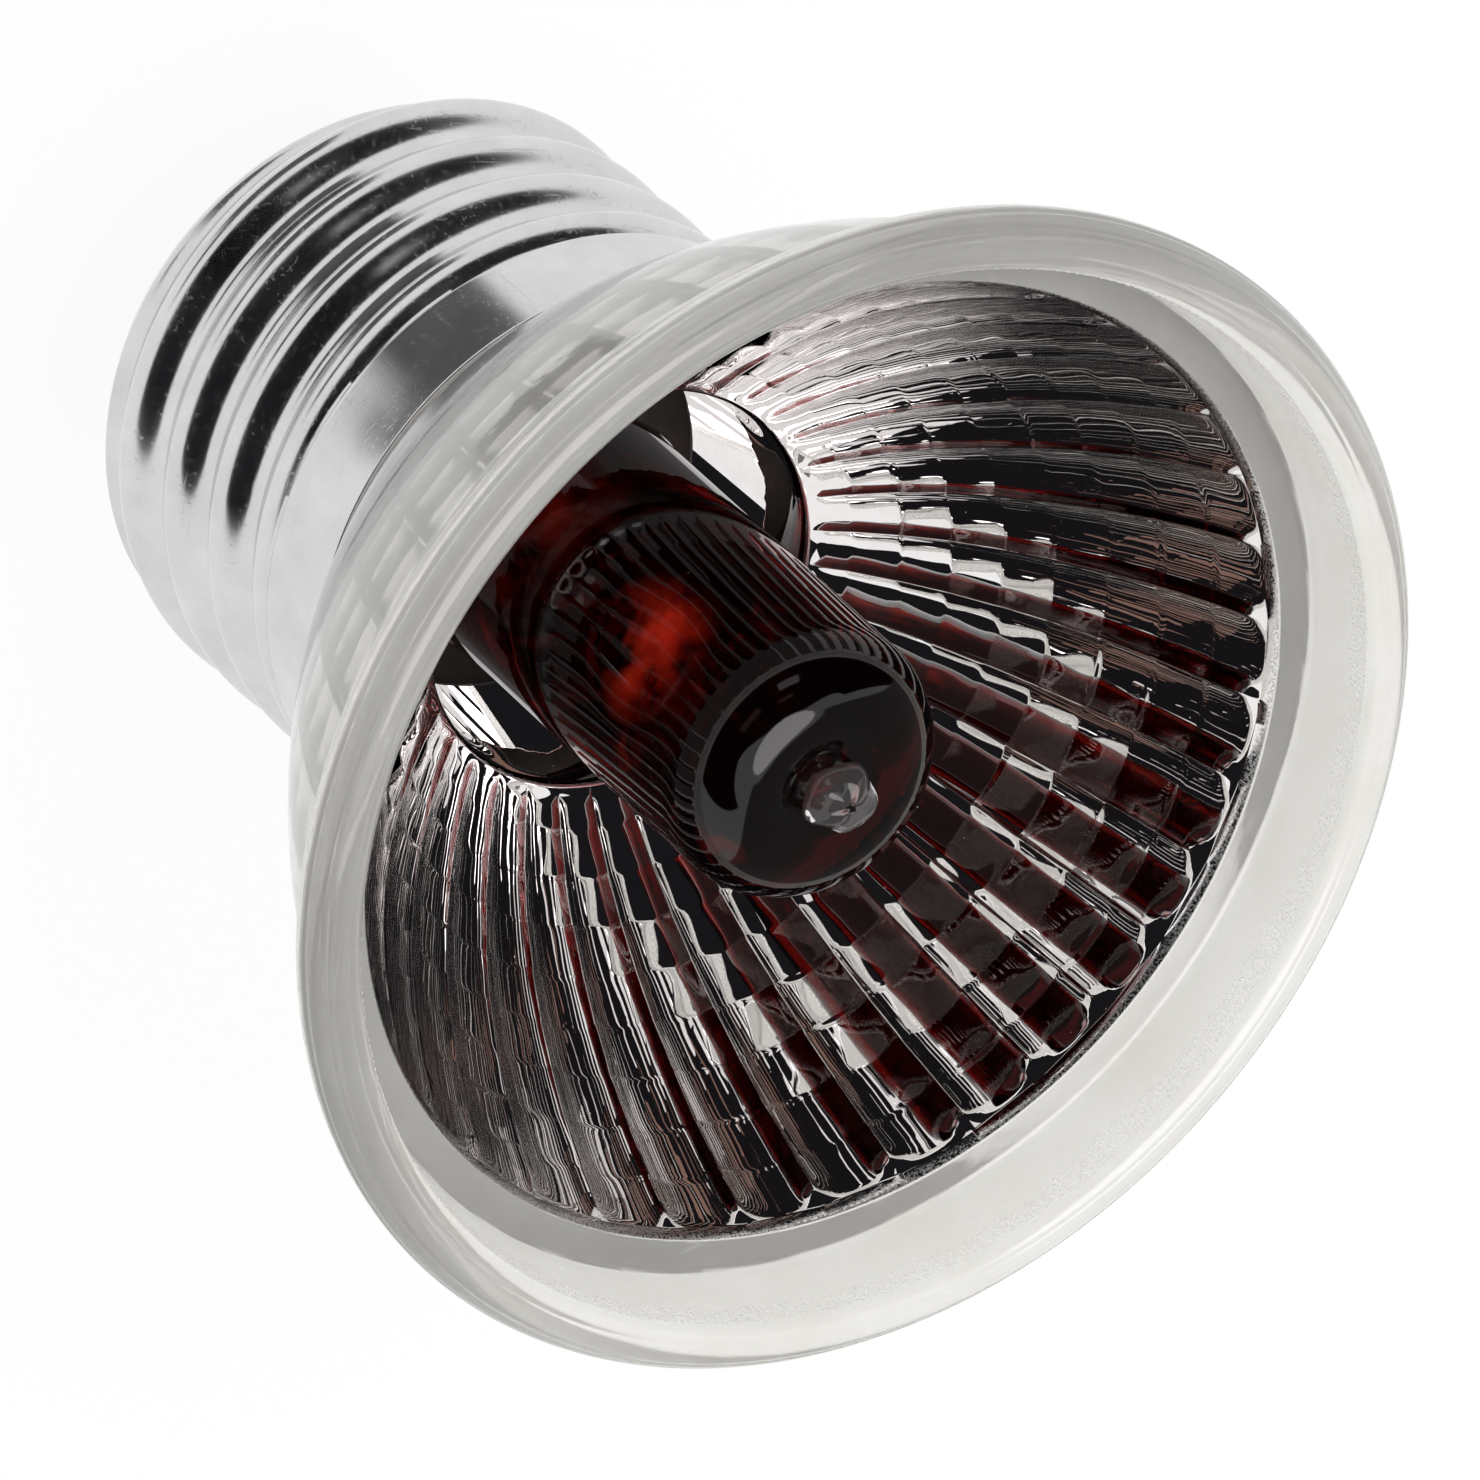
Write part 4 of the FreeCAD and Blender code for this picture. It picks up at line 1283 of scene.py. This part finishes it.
@dataclass
class Studio:
    """White room with a pale floor, soft lamps, cards for the reflections, and the photograph's camera."""

    fill: float = 0.6
    floor_size: float = 4.0
    floor_glow: float = 0.93
    aim_height: float = 0.03
    low_start: float = 103.0
    low_ease: Pair = (6.0, 15.0)
    low_height: float = 0.0006
    low_shade: Colour = (0.11, 0.107, 0.109)
    camera_place: Colour = (-0.39685, 0.24848, 0.55097)
    camera_right: Colour = (0.82091, 0.25047, 0.5132)
    camera_up: Colour = (0.0, 0.89868, -0.4386)
    lens: float = 429.0

    @staticmethod
    def plain_object(name: str, points: np.ndarray) -> bpy.types.Object:
        """An object of the stage from a grid of points in metres."""
        patch = Patch(points, wrap=Wrap.NONE, side=Side.AS_DRAWN)
        mesh = bpy.data.meshes.new(name)
        mesh.from_pydata(patch.vertices(), [], patch.faces()[0].tolist())
        made = placed(name, mesh)
        return made

    @staticmethod
    def card(name: str, points: np.ndarray, shade: Colour,
             strong: np.ndarray | None = None) -> bpy.types.Object:
        """A card of one plain tone that only shows in reflections.

        Args:
            name: the card's name.
            points: grid of points in metres.
            shade: its colour.
            strong: share of the colour at each point, white where it is 0; all 1 if left out.

        Returns:
            The card.
        """
        made = Studio.plain_object(name, points)
        share = np.ones(points.shape[:2]) if strong is None else strong
        values = share.reshape(-1).astype(np.float32)
        made.data.attributes.new("strong", "FLOAT", "POINT").data.foreach_set("value", values)
        material = blank_material(name)
        wires = Wiring(material.node_tree)
        strength = wires.add("Attribute", attribute_name="strong").outputs["Fac"]
        tone = wires.blend(strength, PLAIN_WHITE, (*shade, 1.0))
        glow = wires.add("Emission", {"Color": tone, "Strength": 1.0})
        wires.add("OutputMaterial", {"Surface": glow.outputs[0]})
        made.data.materials.append(material)
        for ray in ("camera", "diffuse", "shadow", "transmission"):
            setattr(made, "visible_" + ray, False)
        return made

    @staticmethod
    def seen(wires: Wiring) -> Socket:
        """1 for rays that show the background: from the camera, a reflection or through glass."""
        path = wires.add("LightPath").outputs
        shown = wires.math("ADD", path["Is Camera Ray"], path["Is Glossy Ray"], clamp=True)
        return wires.math("ADD", shown, path["Is Transmission Ray"], clamp=True)

    def world(self) -> None:
        """White to the eye and in reflections, a softer fill for the light that falls on dull surfaces."""
        world = bpy.data.worlds.new("white_room")
        bpy.context.scene.world = world
        world.use_nodes = True
        world.node_tree.nodes.clear()
        wires = Wiring(world.node_tree)
        fill = wires.add("Background", {"Color": PLAIN_WHITE, "Strength": self.fill})
        white = wires.add("Background", {"Color": PLAIN_WHITE, "Strength": 1.0})
        mixed = wires.add("MixShader", {0: self.seen(wires), 1: fill.outputs[0], 2: white.outputs[0]})
        wires.add("OutputWorld", {"Surface": mixed.outputs[0]})

    def floor(self) -> None:
        """Pale floor under the contact, nearly white to the eye, with a share of real shade."""
        side = np.linspace(-self.floor_size, self.floor_size, 9)
        across, along = np.meshgrid(side, side)
        made = self.plain_object("floor", np.stack([across, along, np.zeros_like(across)], axis=-1))
        material = blank_material("pale_floor")
        wires = Wiring(material.node_tree)
        pale, _ = clouded(wires, wires.place(), 0.02, (0.88, 0.88, 0.88), (0.90, 0.90, 0.90))
        dull = wires.add("BsdfDiffuse", {"Color": pale})
        glow = wires.add("Emission", {"Color": PLAIN_WHITE, "Strength": 1.0})
        share = wires.math("MULTIPLY", self.seen(wires), self.floor_glow)
        mixed = wires.add("MixShader", {0: share, 1: dull.outputs[0], 2: glow.outputs[0]})
        wires.add("OutputMaterial", {"Surface": mixed.outputs[0]})
        made.data.materials.append(material)

    def lamp(self, name: str, longitude: float, latitude: float, distance: float, size: float,
             power: float) -> None:
        """A square soft lamp aimed at the bowl.

        Args:
            name: the lamp's name.
            longitude: direction about the axis in degrees.
            latitude: height of the direction in degrees.
            distance: metres from the bowl.
            size: side in metres.
            power: watts.
        """
        light = bpy.data.lights.new(name, "AREA")
        light.shape = "SQUARE"
        light.size = size
        light.energy = power
        way = Vector(on_sphere(longitude, latitude))
        made = placed(name, light)
        made.visible_glossy = False
        made.visible_transmission = False
        made.location = way * distance + Vector((0.0, 0.0, self.aim_height))
        made.rotation_euler = way.to_track_quat("Z", "Y").to_euler()

    def camera(self) -> None:
        """Camera of the photograph, placed by its right and up directions."""
        data = bpy.data.cameras.new("photo_camera")
        data.sensor_fit = "HORIZONTAL"
        data.sensor_width = 36.0
        data.lens = self.lens
        data.clip_start = 0.01
        data.clip_end = 50.0
        right, up = Vector(self.camera_right).normalized(), Vector(self.camera_up).normalized()
        frame = Matrix([right, up, right.cross(up)]).transposed().to_4x4()
        made = placed("photo_camera", data)
        made.matrix_world = Matrix.Translation(self.camera_place) @ frame
        bpy.context.scene.camera = made

    def cards(self) -> None:
        """The dark room, the lit and coloured patches in it, and two low cards beside the base."""
        copper = (0.27, 0.165, 0.135)
        white = (0.80, 0.775, 0.775)
        DarkRoom().build()
        for patch in (RoomPatch("window_card", (98.0, 116.0), (28.0, 38.0), white),
                      RoomPatch("soft_box_card", (0.0, 360.0), (73.5, 89.9), (4.2, 4.05, 4.05)),
                      RoomPatch("grey_card_far", (268.0, 385.0), (8.0, 70.0), (0.20, 0.192, 0.192)),
                      RoomPatch("copper_card_left", (104.0, 120.0), (48.0, 53.0), copper),
                      RoomPatch("copper_card_right", (138.0, 162.0), (38.0, 46.0), copper)):
            patch.build()
        for name, near, far, end in (("low_card_near", 0.020, 0.034, 152.0),
                                     ("low_card_skirt", 0.034, 0.055, 171.0)):
            turn, reach = np.meshgrid(np.linspace(self.low_start, end, 49), np.linspace(near, far, 9))
            strong = smooth_step(self.low_start, self.low_start + self.low_ease[0], turn)
            strong = strong * (1.0 - smooth_step(end - self.low_ease[1], end, turn))
            points = polar_grid(reach, np.radians(turn), np.full_like(reach, self.low_height))
            self.card(name, points, self.low_shade, strong)

    def build(self) -> None:
        """Set up world, floor, lamps, cards and camera."""
        bpy.context.scene.view_settings.view_transform = "Standard"
        self.world()
        self.floor()
        self.cards()
        self.lamp("soft_key", 110.0, 62.0, 1.2, 0.6, 7.0)
        self.lamp("soft_fill", 320.0, 35.0, 1.3, 0.6, 7.0)
        self.camera()
        LOG.info("studio ready")


def main() -> None:
    """Load the frame, dress the lamp and set up the studio."""
    logging.basicConfig(level=logging.INFO, format="%(name)s %(message)s")
    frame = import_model()
    CarriedNodes(frame["nodes"]).dress()
    for assembly in (Reflector(), ScrewShell(), Capsule(), Filament()):
        assembly.build()
    Studio().build()


if __name__ == "__main__":
    main()
